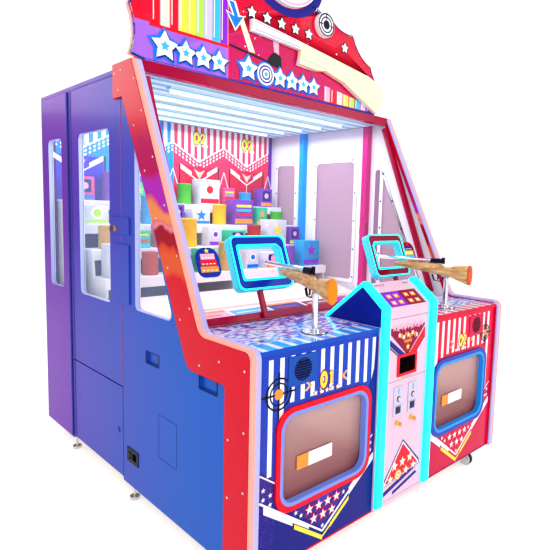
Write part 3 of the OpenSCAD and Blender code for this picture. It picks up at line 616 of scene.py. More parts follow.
def blunt(pts, r, n=5):
    """Rounds every corner of an outline."""
    out = []
    for i, b in enumerate(pts):
        a, c = Vector(pts[i - 1]), Vector(pts[(i + 1) % len(pts)])
        b = Vector(b)
        p, q = b + (a - b).normalized() * r, b + (c - b).normalized() * r
        out += [tuple(p.lerp(b, t).lerp(b.lerp(q, t), t)) for t in (k / n for k in range(n + 1))]
    return out


def grow(pts, d):
    """Pushes an outline away from its middle by d."""
    cu = sum(p[0] for p in pts) / len(pts)
    cv = sum(p[1] for p in pts) / len(pts)
    out = []
    for u, v in pts:
        w = Vector((u - cu, v - cv))
        out.append((u + d * w.x / max(abs(w.x), 1e-6) * min(1, abs(w.x) / 0.05),
                    v + d * w.y / max(abs(w.y), 1e-6) * min(1, abs(w.y) / 0.05)))
    return out


for side, sign in (("left", -1), ("right", 1)):
    inner_face = lambda u, v, out, s=sign: Vector((s * (SHELL_IN - 0.004 - out), u, v))
    for body, loops in (("root", [rounded_loop(*REAR_WINDOW, 0.028), blunt(list(NEAR_WINDOW), 0.03)]),
                        ("door_upper_" + side, [rounded_loop(*DOOR_WINDOW, 0.028)])):
        p = Prints(f"window_trim_{side}_{body}", body, side_slot, inner_face, 0.0015)
        for loop in loops:
            ring = grow(loop, 0.024)
            p.strip(trim_white, ring, loop)
            middle = [((a[0] + b[0]) / 2, (a[1] + b[1]) / 2) for a, b in zip(ring, loop)]
            far = 0.0
            for i, end in enumerate(middle):
                start, end = Vector(middle[i - 1]), Vector(end)
                length = (end - start).length
                n_on = max(1, int(length / 0.16))
                for k in range(n_on):
                    far += length / n_on
                    if far > 0.09:
                        far = 0.0
                        at = start.lerp(end, (k + 1) / n_on)
                        p.disc("black", at.x, at.y, 0.006, 2, 12)
        p.finish()

# outside of the left and right walls: seam tape, hatch outline and handhold lips
tape = plain("seam_tape", (0.80, 0.20, 0.12), 0.4, vary=0.1, scale=30)
groove = plain("seam_groove", (0.02, 0.02, 0.10), 0.6, vary=0.1, scale=30)
for side, sign in (("left", -1), ("right", 1)):
    wall = lambda u, v, out, s=sign: Vector((s * (SHELL_OUT + out), FRONT + u, v))
    p = Prints("wall_marks_" + side, "root", side_slot, wall, 0.0005)
    p.box(groove, 0.9095, 0.095, 0.9120, 1.845)
    p.box(tape, 0.9100, 0.52, 0.9113, 1.74, 2)
    for a, b in (((0.454, 0.310), (0.590, 0.310)), ((0.454, 0.487), (0.590, 0.487)),
                 ((0.454, 0.310), (0.454, 0.487)), ((0.590, 0.310), (0.590, 0.487))):
        p.line(groove, a, b, 0.0014)
    for y, z, w in ((0.188, 0.672, 0.108), (0.591, 0.675, 0.102)):
        loop = rounded_loop(y, y + w, z, z + 0.048, 0.006)
        p.strip(black, grow(loop, 0.005), loop, 2)
    p.finish()


def edge_screws(name, body, slot, mat, spots, normal, r=0.0045, high=0.0018):
    """Domed screw heads with a dimple in the middle, all in one piece."""
    bm = bmesh.new()
    n = Vector(normal).normalized()
    a = n.orthogonal().normalized()
    b = n.cross(a)
    for spot in spots:
        c = Vector(spot)
        rings = []
        for rr, hh in ((1.0, 0.0), (0.95, 0.45), (0.72, 0.82), (0.38, 1.0)):
            rings.append([bm.verts.new(c + n * (hh * high) + (a * math.cos(t) + b * math.sin(t)) * rr * r)
                          for t in (2 * math.pi * k / 12 for k in range(12))])
        join_rings(bm, rings)
        dip = bm.verts.new(c + n * (0.35 * high))
        for k in range(12):
            bm.faces.new((rings[-1][k], rings[-1][(k + 1) % 12], dip))
        bm.faces.new(rings[0][::-1])
    piece(name, bm, body, slot, [mat], 50)


# ---------------------------------------------------------------- cheeks and mouldings

cheek_red = Paint("cheek_red_print", 0.24, coat=0.05).fill((0.66, 0.0, 0.02))
tide = cheek_red.z + (cheek_red.noise(6, 2.0) - 0.5) * 0.20
cheek_red.fill((0.46, 0.0, 0.10), tide.soft(1.38, 1.60, 0.05))
cheek_red.fill((0.42, 0.02, 0.42), tide.soft(1.32, 1.40, 0.02))
cheek_red.fill((0.80, 0.26, 0.10), tide.soft(1.24, 1.32, 0.015))
cheek_red.fill((0.72, 0.24, 0.30), tide.soft(1.21, 1.24, 0.008))
cheek_red.fill((0.36, 0.0, 0.02), tide.soft(1.15, 1.21, 0.010))
cheek_red.fill((0.72, 0.10, 0.02), tide.soft(1.04, 1.14, 0.02))
cheek_red = cheek_red.done(vary=0.05, scale=3)
for side, sign in (("left", -1), ("right", 1)):
    refined("cheek_" + side, [cheek_red], 0.0015, 2)
    spots = []
    slope = lambda z: FRONT + 0.277 + (z - 0.873) * 0.4936
    for z in (0.95, 1.13, 1.31, 1.49, 1.67, 1.80):
        spots.append((sign * HALF_W, slope(z) + 0.030, z))
        if z < 1.7:
            spots.append((sign * HALF_W, slope(z) + 0.095, z - 0.05))
    spots += [(sign * HALF_W, FRONT + y, z) for y, z in
              ((0.905, 1.775), (0.940, 1.845), (0.88, 1.85), (0.02, 0.80), (0.02, 0.60), (0.02, 0.40),
               (0.02, 0.20),
               (0.105, 0.15), (0.105, 0.35), (0.105, 0.55), (0.16, 0.80), (0.28, 0.76))]
    edge_screws("cheek_screws_" + side, "root", "red_paint", zinc, spots, (sign, 0, 0))
refined("cheek_mouldings", [salmon], 0.005, 4)

# ---------------------------------------------------------------- steel frame, deck and roof

frame_print = Paint("frame_print", 0.4).fill((0.10, 0.10, 0.11))
tall = frame_print.z.over(0.86)
frame_print.fill((0.62, 0.0, 0.22), tall)
frame_print.fill((0.0, 0.32, 0.90), tall * frame_print.y.over(FRONT + 1.2))
frame_print = frame_print.done(vary=0.08, scale=12, bump=0.03)
refined("steel_frame", [frame_print], 0.002, 2)
for sign in (-1, 1):
    x0 = sign * (SHELL_IN - 0.040)
    edge_screws(f"post_screws_{'left' if sign < 0 else 'right'}", "root", "frame_steel", black,
                [(x0, FRONT + y, z) for y, k in ((0.913, 6), (1.4985, 5))
                 for z in [1.0 + 0.78 * i / k for i in range(k + 1)] if not 1.16 < z < 1.25],
                (-sign, 0, 0), 0.005)
for n in ("roof_panel", "back_panel"):
    refined(n, [side_blue], 0.002, 2)
refined("floor_deck", [board], 0.0)

# ---------------------------------------------------------------- inside of the case

BACK_Y = lo("back_graphics").y
BACK_PITCH = 0.3927
back_print = Paint("back_print", 0.4, spec=0.3).fill((0.80, 0.02, 0.10))
bx, bz = back_print.x, back_print.z
is_blue = bx.under(-0.035)
back_print.fill((0.0, 0.25, 0.85), is_blue)
tooth = ((bx + 0.042).wrap(BACK_PITCH) - BACK_PITCH / 2).size()
zig = tooth * 0.56 + 1.616
stripes = ((bx + 0.005).wrap(0.0490)).under(0.024) * (bz - zig).over(0.0)
back_print.fill((0.93, 0.90, 0.94), stripes)
back_print.fill((0.93, 0.90, 0.94), (bz - zig).between(-0.006, 0.003))
du = (bx + 0.004).wrap(0.026) - 0.013
dv = ((bz - zig) + 0.06).wrap(0.022) - 0.011
back_print.fill((0.95, 0.92, 0.95), (du * du + dv * dv).under(0.00005) * (bz - zig).between(-0.062, -0.008))
back_print.fill((0.62, 0.0, 0.05), bz.under(1.582) * tooth.under(0.145))
back_print.fill((0.05, 0.02, 0.60), bz.under(1.582) * is_blue * tooth.under(0.145))
back_print = back_print.done(vary=0.04, scale=6)
refined("back_graphics", [back_print], 0.0)
p = Prints("back_wall_print", "root", "printed_back", front_face(BACK_Y), 0.0006)
for k in range(-2, 2):
    mid = 0.157 + BACK_PITCH * k
    for s in (-1, 1):
        p.line("white", (mid, 1.484), (mid + s * 0.140, 1.566), 0.008, 1)
        p.poly("white", [(mid + s * 0.060, 1.545), (mid + s * 0.140, 1.592),
                              (mid + s * 0.140, 1.568), (mid + s * 0.060, 1.521)], 2)
        p.box("black", mid + s * 0.146, 1.20, mid + s * 0.154, 1.59, 2)
    p.line("white", (mid, 1.484), (mid, 1.30), 0.004, 1)
    p.poly("pink", [(mid - 0.042, 1.566), (mid, 1.545), (mid + 0.042, 1.562), (mid, 1.500)], 2)
    p.poly("yellow", [(mid - 0.020, 1.545), (mid, 1.535), (mid + 0.020, 1.545), (mid, 1.505)], 3)
    p.digits("02" if k >= 0 else "01", "yellow", "black", mid, 1.768, 0.062, 3)
    p.star_row("white", mid, 1.722, 0.012, 3)
    for s in (-1, 1):
        p.line("white", (mid + 0.196, 1.56), (mid + 0.196 + s * 0.06, 1.38), 0.005, 1)
p.finish()

# ---------------------------------------------------------------- middle tower

TOWER_FACE = FRONT - 0.010
TOWER_HALF = hi("tower_body").x
tower_skin = Paint("tower_skin", 0.28, coat=0.05).fill((0.78, 0.52, 0.64))
tower_skin.fill((0.006, 0.022, 0.30),
                tower_skin.x.size().over(TOWER_HALF - 0.002) * tower_skin.z.over(COUNTER))
tower_skin = tower_skin.done(vary=0.04, scale=4)
for n in ("tower_body", "tower_door", "tower_lid"):
    refined(n, [tower_skin], 0.0012, 2)
refined("led_strips", [glow], 0.003, 3)
# the inside of the cork pocket is painted near black: painted shade in the recess
pocket_shade = plain("pocket_shade", (0.03, 0.005, 0.01), 0.5, vary=0.2, scale=20)
refined("cork_pocket", [bezel_red, pocket_shade], 0.0025, 3,
        lambda c, n: 0 if c.y < TOWER_FACE - 0.0005 or n.y < -0.9 and c.y < TOWER_FACE + 0.001 else 1)


p = Prints("tower_print", "root", "tower_paint", front_face(TOWER_FACE))
p.poly("maroon", [(-0.118, 0.845), (0.118, 0.845), (0.118, 0.835), (0.010, 0.728), (-0.010, 0.728),
                       (-0.118, 0.820)], 1)
for k in range(9):
    u = -0.096 + 0.024 * k
    p.star("pink", u, 0.846 - 0.004 * (k % 2), 0.016, 3, 0.2 * k)
    p.star("orange" if k % 2 else "cream", u * 0.62, 0.812 - 0.006 * (k % 3), 0.013, 3, 0.3 * k)
    if 1 < k < 7:
        p.star("orange", u * 0.42, 0.781, 0.010, 3, 0.5 * k)
p.star("yellow", 0.0, 0.756, 0.014, 4)
p.poly("navy", [(-0.122, 0.800), (-0.122, 0.776), (-0.050, 0.724), (-0.012, 0.724)], 4)
p.poly("black", [(-0.122, 0.770), (-0.122, 0.765), (-0.064, 0.724), (-0.057, 0.724)], 4)
p.poly("red", [(0.122, 0.826), (0.122, 0.792), (0.048, 0.724), (0.012, 0.724)], 4)
p.poly("maroon", [(0.122, 0.788), (0.122, 0.783), (0.060, 0.724), (0.053, 0.724)], 4)
p.box("yellow", -0.052, 0.623, -0.034, 0.631, 2)
for k in range(6):
    p.box("grey", -0.028 + 0.011 * k, 0.625, -0.021 + 0.011 * k, 0.629, 2)
p.finish()

p = Prints("tower_door_print", "tower_door", "tower_paint", front_face(TOWER_FACE))
p.poly("navy", [(0.0, 0.352), (-0.126, 0.196), (-0.126, 0.176), (0.126, 0.204), (0.126, 0.226)], 1)
p.poly("white", [(0.0, 0.343), (-0.120, 0.192), (-0.120, 0.180), (0.120, 0.208), (0.120, 0.220)], 2)
p.poly("red", [(0.0, 0.333), (-0.112, 0.190), (-0.112, 0.184), (0.112, 0.212), (0.112, 0.218)], 3)
for row, (z, n, r) in enumerate(((0.252, 3, 0.027), (0.205, 4, 0.024))):
    for k in range(n):
        u = (k - (n - 1) / 2) * 0.054
        if row == 1 and k == 1:
            for rr, m in ((0.023, "orange"), (0.018, "cream"), (0.012, "orange"), (0.006, "cream")):
                p.disc(m, u, z + 0.1 * u, rr, 4 + round((0.023 - rr) * 200), 28)
        else:
            p.star("orange", u, z + 0.1 * u, r, 4, 0.1)
            p.star("white", u, z + 0.1 * u, r * 0.78, 5, 0.1)
for a, b, w in (((-0.128, 0.134), (0.100, 0.196), 0.018), ((-0.060, 0.124), (0.112, 0.168), 0.013)):
    p.poly("navy", [a, (a[0], a[1] + w), (b[0] - 0.012, b[1] + w * 0.8), b], 3)
p.finish()

# printed panel on the lid's slope, in plain blocks
lid_mesh = frame["nodes"]["tower_lid"].data
slope_face = max((f for f in lid_mesh.polygons if f.normal.z > 0.3 and f.normal.y < -0.3),
                 key=lambda f: f.area)
lid_n = slope_face.normal.copy()
lid_up = lid_n.cross(Vector((1, 0, 0))) * (-1 if lid_n.cross(Vector((1, 0, 0))).z < 0 else 1)
lid_c = Vector((0, slope_face.center.y, slope_face.center.z))
p = Prints("lid_print", "tower_lid", "tower_paint",
           lambda u, v, out: lid_c + Vector((u, 0, 0)) + lid_up * v + lid_n * out)
p.box("purple", -0.122, -0.035, 0.0, 0.048)
p.box("maroon", 0.0, -0.035, 0.122, 0.048)
for k in range(2):
    for j in range(2):
        for s in (-1, 1):
            u, v = s * (0.034 + 0.048 * k), -0.014 + 0.036 * j
            p.box("orange", u - 0.015, v - 0.011, u + 0.015, v + 0.011, 2)
            p.box("cream", u - 0.009, v - 0.005, u + 0.009, v + 0.005, 3)
p.finish()

# coin plates: a window with a navy ring of painted shade round the slot, three lines, and screws
steel_plate = plain("coin_plate", (0.55, 0.53, 0.68), 0.3, metal=0.8, vary=0.15, scale=60, bump=0.02)
refined("coin_acceptors", [steel_plate], 0.0012, 2)
PLATE_Y = lo("coin_acceptors").y
p = Prints("coin_plate_print", "tower_door", "coin_steel", front_face(PLATE_Y))
for s in (-1, 1):
    c = s * 0.050
    p.box("lilac", c - 0.026, 0.522, c + 0.026, 0.556)
    # navy ring: painted shade round the coin slot
    p.ring("navy", c, 0.541, 0.0125, 0.003, 3, 24)
    for k in range(3):
        p.box("grey", c - 0.024, 0.516 - 0.003 * k, c + 0.024, 0.5145 - 0.003 * k)
p.finish()
edge_screws("coin_plate_screws", "tower_door", "coin_steel", zinc,
            [(s * 0.050 + a * 0.027, PLATE_Y, z) for s in (-1, 1) for a in (-1, 1) for z in (0.476, 0.587)],
            (0, -1, 0), 0.0028, 0.0012)

# ---------------------------------------------------------------- counter, posts and front rails

counter_print = Paint("counter_print", 0.14, coat=0.35, spec=0.4).fill((0.24, 0.20, 0.85))
streak = counter_print.noise(10, 3.0, (1.0, 2.4, 1.0))
specks = counter_print.noise(30, 1.0, (1.0, 2.4, 1.0))
counter_print.fill((0.10, 0.50, 0.95), streak.over(0.53))
counter_print.fill((0.86, 0.83, 0.96), specks.over(0.52))
counter_print.fill((0.20, 0.05, 0.45), specks.under(0.40))
front_rows = counter_print.y.under(FRONT + 0.080)
counter_print.fill((0.05, 0.35, 0.90), front_rows)
counter_print.fill((0.80, 0.10, 0.22), front_rows * counter_print.x.over(0.0))
counter_print.fill((0.85, 0.82, 0.95), front_rows * (counter_print.x.wrap(0.064)).under(0.024))
counter_print = counter_print.done(vary=0.05, scale=6)
counter_edge = Paint("counter_edge", 0.28, coat=0.05).fill((0.01, 0.08, 0.48))
counter_edge.fill((0.68, 0.0, 0.04), counter_edge.x.over(0.0))
counter_edge = counter_edge.done(vary=0.05, scale=6)
refined("counter_top", [counter_edge, counter_print], 0.002, 3, lambda c, n: 1 if n.z > 0.9 else 0)
refined("gun_posts", [chrome], 0.001, 2)
p = Prints("post_base_rings", "root", "printed_counter", lambda u, v, out: Vector((u, v, COUNTER + out)))
for s in (-1, 1):
    at = JOINT["rifle_yaw_" + ("left" if s < 0 else "right")]["pos_m"]
    p.ring("black", at[0], at[1], 0.0500, 0.0035, 2, 48)
p.finish()
refined("windshield_frame", [crimson], 0.003, 3)
TRAY_Z = hi("prize_chutes").z - 0.030
p = Prints("tray_print", "root", "printed_counter",
           lambda u, v, out: Vector((u, FRONT + v, TRAY_Z + (v - 0.415) * 0.13 + out)))
for k in range(-3, 4):
    u0 = 0.205 * k - 0.095
    tone = ["pink", "sky", "navy", "maroon", "purple", "pink", "red"][k + 3]
    p.box(tone, u0, 0.440, u0 + 0.190, 0.580)
    p.box("orange" if k % 2 else "white", u0, 0.560, u0 + 0.190, 0.580, 2)
    for j in range(3):
        v = 0.462 + 0.030 * j
        p.box("white" if k % 2 == 0 else "red", u0 + 0.020, v, u0 + 0.150, v + 0.008, 2)
p.finish()

# ---------------------------------------------------------------- aiming frames and signs

aim_navy = plain("aim_navy", (0.005, 0.035, 0.36), 0.26, coat=0.07, vary=0.06, scale=8)
aim_maroon = plain("aim_maroon", (0.30, 0.0, 0.02), 0.26, coat=0.07, vary=0.06, scale=8)


def aim_part(c, n):
    out = (c - FOOT).dot(OUT)
    if abs(c.x) > 0.58:
        return 1 if c.x > 0 else 0
    if abs(n.dot(OUT)) < 0.3 and out > 0.001 and (c - FOOT).dot(UP) > AIM_LOW - 0.002:
        return 3
    return 2 if (c - FOOT).dot(UP) < AIM_LOW and 0.009 < out < 0.027 else (1 if c.x > 0 else 0)


def up_slope(z):
    return (z - FOOT.z) / UP.z


AIM_LOW = up_slope(0.970)
# the inner walls of the aiming frames glow though they are no lamp: painted light
aim_wall = plain("aim_lit_wall", (0.10, 0.72, 0.86), 0.35, vary=0.05, scale=12, glow=0.15)
refined("aim_frames", [aim_navy, aim_maroon, crimson, aim_wall], 0.0015, 2, aim_part)
for s, tag in ((-1, "left"), (1, "right")):
    p = Prints("aim_sign_print_" + tag, "root", "aim_plate", lambda u, v, out: on_screen(u, 0.005 + out, v))
    mid, low, high = s * 0.659, up_slope(1.047), up_slope(1.142)
    rows = (("orange", "red", "pink") if s < 0 else ("sky", "yellow", "navy"))
    step = (high - low) / 4
    for k, key in enumerate(rows):
        base = low + step * (k + 0.4)
        half = 0.040 - 0.004 * k
        p.box(key, mid - half, base, mid + half, base + step * 0.92, 2)
        for j in range(4):
            u = mid - half * 0.7 + half * 0.46 * j
            p.box("white", u - 0.005, base + 0.006, u + 0.005, base + 0.010, 3)
    p.star("yellow" if s < 0 else "red", mid, high - 0.006, 0.012, 4)
    p.finish()

# ---------------------------------------------------------------- rifles

stock_grain = Paint("stock_grain", 0.3, coat=0.07).fill((0.74, 0.44, 0.20))
figure = stock_grain.noise(26, 4.0, (3.0, 0.5, 3.0))
stock_grain.fill((0.52, 0.24, 0.08), figure.ramp(0.48, 0.66))
stock_grain.fill((0.86, 0.60, 0.34), figure.ramp(0.42, 0.30))
stock_grain = stock_grain.done(vary=0.12, scale=30, bump=0.02)
butt_paint = {"left": plain("butt_orange", (0.95, 0.26, 0.02), 0.35, vary=0.15, scale=40),
              "right": plain("butt_red", (0.66, 0.12, 0.05), 0.35, vary=0.15, scale=40)}
gun_black = plain("gun_black", (0.02, 0.02, 0.035), 0.32, metal=0.6, vary=0.2, scale=60)
DIP = math.radians(1.0)


def rifle_matrix(side):
    """The rifle's own frame: x along its pivot, y to the muzzle, z up."""
    j = JOINT["rifle_pitch_" + side]
    x = Vector(j["axis"]).normalized()
    ahead = Vector((-x.y, x.x, 0))
    y = ahead * math.cos(DIP) - Vector((0, 0, 1)) * math.sin(DIP)
    z = x.cross(y)
    return Matrix.Translation(j["pos_m"]) @ Matrix((
        (x.x, y.x, z.x), (x.y, y.y, z.y), (x.z, y.z, z.z))).to_4x4()


def cut_box(obj, m, low, high):
    """Cuts a box, given in the frame m, out of an object."""
    bm = bmesh.new()
    fit_cube(bmesh.ops.create_cube(bm, size=1)["verts"], Vector(low), Vector(high), m)
    cutter = as_object("cutter", bm)
    b = obj.modifiers.new("cut", "BOOLEAN")
    b.object, b.operation, b.solver = cutter, "DIFFERENCE", "EXACT"
    bake_modifiers(obj)
    bpy.data.objects.remove(cutter)


def stock_section(edges, y):
    zs = [a.z + (b.z - a.z) * (y - a.y) / (b.y - a.y) for a, b in edges if (a.y - y) * (b.y - y) < 0]
    return min(zs), max(zs)


def loft(rings):
    """A closed solid through rings of points."""
    bm = bmesh.new()
    made = [[bm.verts.new(p) for p in r] for r in rings]
    join_rings(bm, made)
    bm.faces.new(made[0][::-1])
    bm.faces.new(made[-1])
    bmesh.ops.recalc_face_normals(bm, faces=bm.faces)
    return bm


def rounded_section(half, low, high, y, m, power=0.72, n=28):
    mid, tall = (low + high) / 2, (high - low) / 2
    out = []
    for k in range(n):
        c, s = math.cos(2 * math.pi * k / n), math.sin(2 * math.pi * k / n)
        out.append(m @ Vector((half * math.copysign(abs(c) ** power, c), y,
                               mid + tall * math.copysign(abs(s) ** power, s))))
    return out


for side in ("left", "right"):
    m = rifle_matrix(side)
    back = m.inverted()
    mesh = frame["nodes"]["stock_" + side].data
    pts = [back @ v.co for v in mesh.vertices]
    edges = [(pts[e.vertices[0]], pts[e.vertices[1]]) for e in mesh.edges
             if min(abs(pts[i].x) for i in e.vertices) > 0.0175]
    edges = [e for e in edges if abs(e[0].y - e[1].y) > 1e-5]
    nose, heel = 0.299, -0.1175
    rings = []
    for k in range(46):
        y = nose + (heel - nose) * k / 45
        low, high = stock_section(edges, y)
        half = 0.0150 + 0.004 * min(1, max(0, (0.28 - y) / 0.20))
        half -= 0.0032 * math.exp(-((y + 0.018) / 0.035) ** 2)
        shrink = 1 - 0.30 * max(0, (y - 0.275) / 0.024) ** 2
        rings.append(rounded_section(half * shrink, low, high - 0.0005, y, m))
    wood_piece = piece("stock_wood_" + side, loft(rings), "rifle_" + side, "stock_wood", [stock_grain])
    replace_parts(wood_piece, "stock_" + side)
    cut_box(wood_piece, m, (-0.0063, -0.018, -0.060), (0.0063, 0.018, 0.0175))
    cut_box(wood_piece, m, (-0.004, 0.030, -0.060), (0.004, 0.062, 0.006))
    cut_box(wood_piece, m, (-0.0115, 0.025, 0.0385), (0.0115, 0.091, 0.060))
    smooth(wood_piece.data, 45)
    rings = [rounded_section(w, -0.0055 - h, -0.0055 + h, y, m, 1.0, 36) for w, h, y in
             ((0.0165, 0.0430, -0.1165), (0.0195, 0.0462, -0.1185), (0.0200, 0.0466, -0.1225),
              (0.0185, 0.0450, -0.1262), (0.0120, 0.0330, -0.1278))]
    piece("butt_plate_" + side, loft(rings), "rifle_" + side, "stock_wood", [butt_paint[side]], 60)
    for s in (-1, 1):
        edge_screws(f"stock_screws_{side}_{'a' if s < 0 else 'b'}", "rifle_" + side, "chrome_post", chrome,
                    [m @ Vector((s * 0.0172, y, z)) for y, z in ((0.062, 0.020), (0.100, 0.020))],
                    m.to_3x3() @ Vector((s, 0, 0)), 0.0036, 0.0026)

    def barrel_part(c, n, back=back):
        p = back @ c
        return 1 if (p.y < 0.0925 and p.z > 0.040) or p.z < 0.035 else 0
    refined("barrel_" + side, [chrome, gun_black], 0.0008, 2, barrel_part)
    refined("trigger_" + side, [gun_black], 0.0008, 2)
    refined("yoke_" + side, [zinc], 0.0010, 2)

# ---------------------------------------------------------------- lamps, shelves and prizes

TUBE_TOP = hi("ceiling_lights").z - 0.0155
# ceiling panel: it glows though it is no lamp, and its pale bands between darker gaps are painted light and
# shade from the tubes
ceiling_panel = Paint("ceiling_panel", 0.5).fill((0.22, 0.44, 0.62))
tube_light_phase = (ceiling_panel.y - (FRONT + 0.861)).wrap(0.088)
ceiling_panel.fill((0.60, 0.80, 0.90), tube_light_phase.between(0.022, 0.066))
ceiling_panel = ceiling_panel.done(vary=0.05, scale=10, glow=0.12)
refined("ceiling_lights", [tube, ceiling_panel], 0.0, 1, lambda c, n: 1 if c.z > TUBE_TOP else 0)
shelf_white = Paint("shelf_white", 0.45).fill((0.86, 0.84, 0.92))
shelf_white.fill((0.30, 0.01, 0.06), shelf_white.z.under(lo("shelves").z + 0.62))
shelf_white = shelf_white.done(vary=0.05, scale=5)
refined("shelves", [shelf_white], 0.0012, 2)

goods = {k: plain("goods_" + k, c, 0.4, vary=0.25, scale=30) for k, c in {
    "mint": (0.04, 0.48, 0.26), "rose": (0.72, 0.08, 0.22), "sky": (0.02, 0.34, 0.72),
    "snow": (0.66, 0.66, 0.76),
    "sun": (0.85, 0.46, 0.02), "violet": (0.20, 0.06, 0.46), "brick": (0.50, 0.02, 0.02),
    "tan": (0.62, 0.34, 0.12),
    "deep": (0.01, 0.04, 0.38), "leaf": (0.08, 0.42, 0.05)}.items()}


def islands(mesh):
    """The separate solids of a mesh, as lists of points."""
    bm = bmesh_of(mesh, True)
    seen, found = set(), []
    for start in bm.verts:
        if start in seen:
            continue
        stack, group = [start], []
        seen.add(start)
        while stack:
            v = stack.pop()
            group.append(v.co.copy())
            for e in v.link_edges:
                w = e.other_vert(v)
                if w not in seen:
                    seen.add(w)
                    stack.append(w)
        found.append(group)
    bm.free()
    return sorted(found, key=lambda g: (round(min(p.y for p in g), 3), min(p.x for p in g)))


def bevelled_box(bm, low, high, width):
    part = bmesh.ops.create_cube(bm, size=1)["verts"]
    fit_cube(part, low, high)
    bmesh.ops.bevel(bm, geom=list({e for v in part for e in v.link_edges}), offset=width, segments=2,
                    affect="EDGES", profile=0.5)


def can(bm, c, r, low, high):
    """A can with rolled rims and a slightly dished lid."""
    steps = ((0.90, low), (1.0, low + 0.004), (1.0, low + 0.010), (0.965, low + 0.014),
             (0.965, high - 0.014), (1.0, high - 0.010), (1.0, high - 0.004), (0.92, high),
             (0.86, high - 0.010), (0.10, high - 0.012))
    rows = [[bm.verts.new((u, v, z)) for u, v in oval(c.x, c.y, r * k, r * k, 28)] for k, z in steps]
    join_rings(bm, rows)
    bm.faces.new(rows[0][::-1])
    bm.faces.new(rows[-1])


rainbow = ["brick", "tan", "sun", "leaf", "sky", "deep", "violet"]
box_colours = ["mint", "snow", "sky", "rose", "tan", "snow", "violet", "sun"]
meshes = {k: bmesh.new() for k in goods}
labels = Prints("prize_labels", "root", "prize_goods", None, 0.0006)
for i, group in enumerate(islands(frame["nodes"]["prizes"].data)):
    low = Vector([min(p[a] for p in group) for a in range(3)])
    high = Vector([max(p[a] for p in group) for a in range(3)])
    mid = (low + high) / 2
    if len(group) > 12:
        key = rainbow[i % 7]
        can(meshes[key], mid, (high.x - low.x) / 2, low.z, high.z)
        continue
    key = box_colours[random.randrange(8)]
    bevelled_box(meshes[key], low, high, 0.003)
    labels.place = front_face(low.y)
    w, h = (high.x - low.x) / 2, high.z - low.z
    tone = ["red", "blue", "purple", "yellow", "sky", "orange", "green"][i % 7]
    labels.box(tone, mid.x - w * 0.92, low.z + h * 0.06, mid.x + w * 0.92, low.z + h * 0.24)
    style = i % 4
    if style == 0:
        labels.disc("white", mid.x, low.z + h * 0.60, w * 0.52, 1, 28)
        labels.disc(tone, mid.x, low.z + h * 0.60, w * 0.34, 2, 28)
    elif style == 1:
        labels.poly("navy", blunt(corners(mid.x - w * 0.66, low.z + h * 0.34,
                                          mid.x + w * 0.66, low.z + h * 0.88), 0.008))
        labels.disc("pink", mid.x, low.z + h * 0.61, w * 0.36, 2, 24)
    elif style == 2:
        labels.star(tone, mid.x, low.z + h * 0.60, w * 0.62, 1)
    else:
        for k in range(3):
            labels.box(["red", "sky", "yellow"][k], mid.x - w * 0.8, low.z + h * (0.36 + 0.17 * k),
                       mid.x + w * 0.8, low.z + h * (0.46 + 0.17 * k))
labels.finish()
for key, bm in meshes.items():
    if len(bm.verts):
        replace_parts(piece("prize_goods_" + key, bm, "root", "prize_goods", [goods[key]], 30), "prizes")

# ---------------------------------------------------------------- sign board

SIGN_Y = FRONT + 0.770
RAISED_Y = FRONT + 0.744
TARGET = Vector((0.212, 2.267))
CREST = Vector((-0.045, hi("marquee").z - 0.207))
sign_red = Paint("sign_print", 0.26, coat=0.07).fill((0.78, 0.01, 0.04))
sx, sz = sign_red.x, sign_red.z
sign_red.fill((0.62, 0.0, 0.14), sz.under(2.10) * sx.over(-0.37))
du, dv = sx.wrap(0.013) - 0.0065, sz.wrap(0.013) - 0.0065
sign_red.fill((0.50, 0.0, 0.05), (du * du + dv * dv).under(0.000018) * sx.over(-0.37))
sign_red.fill((0.40, 0.16, 0.72), sx.under(-0.375) * sz.under(2.03))
sign_red.fill((0.05, 0.42, 0.88), sx.under(-0.375) * sz.over(2.262))
sign_red = sign_red.done(vary=0.05, scale=4)
sign_cream = Paint("sign_relief", 0.3, coat=0.05).fill((0.95, 0.82, 0.56))
sign_cream.fill((0.92, 0.93, 0.96), sign_cream.x.under(0.036))
sign_cream.fill((0.90, 0.68, 0.40),
                sign_cream.noise(5, 2.0, (1, 1, 3)).ramp(0.52, 0.70) * sign_cream.x.over(0.30))
sign_cream = sign_cream.done(vary=0.06, scale=6, stretch=(1, 1, 5))
sign_white = plain("sign_white", (0.90, 0.90, 0.93), 0.3, coat=0.05, vary=0.04, scale=8)
sign_blue = plain("sign_blue", (0.02, 0.08, 0.60), 0.3, coat=0.05, vary=0.05, scale=8)


def sign_part(c, n):
    if c.y > SIGN_Y - 0.0005:
        return 0 if n.y < -0.5 and c.y < SIGN_Y + 0.002 else 4
    at = Vector((c.x, c.z))
    return 2 if (at - CREST).length < 0.21 or (at - TARGET).length < 0.063 else 1


sign = refined("marquee", [sign_red, sign_cream, sign_white, sign_blue, salmon], 0.0018, 2, sign_part)
bm = bmesh_of(sign.data)
face_now = [f for f in bm.faces if f.material_index == 0]
for band, index in ((0.0075, 3), (0.0085, 2), (0.006, 3)):
    ring = set(bmesh.ops.inset_region(bm, faces=face_now, thickness=band, use_even_offset=True,
                                      use_boundary=True)["faces"])
    for f in ring:
        f.material_index = index
    face_now = [f for f in face_now if f not in ring]
put_back(bm, sign.data)

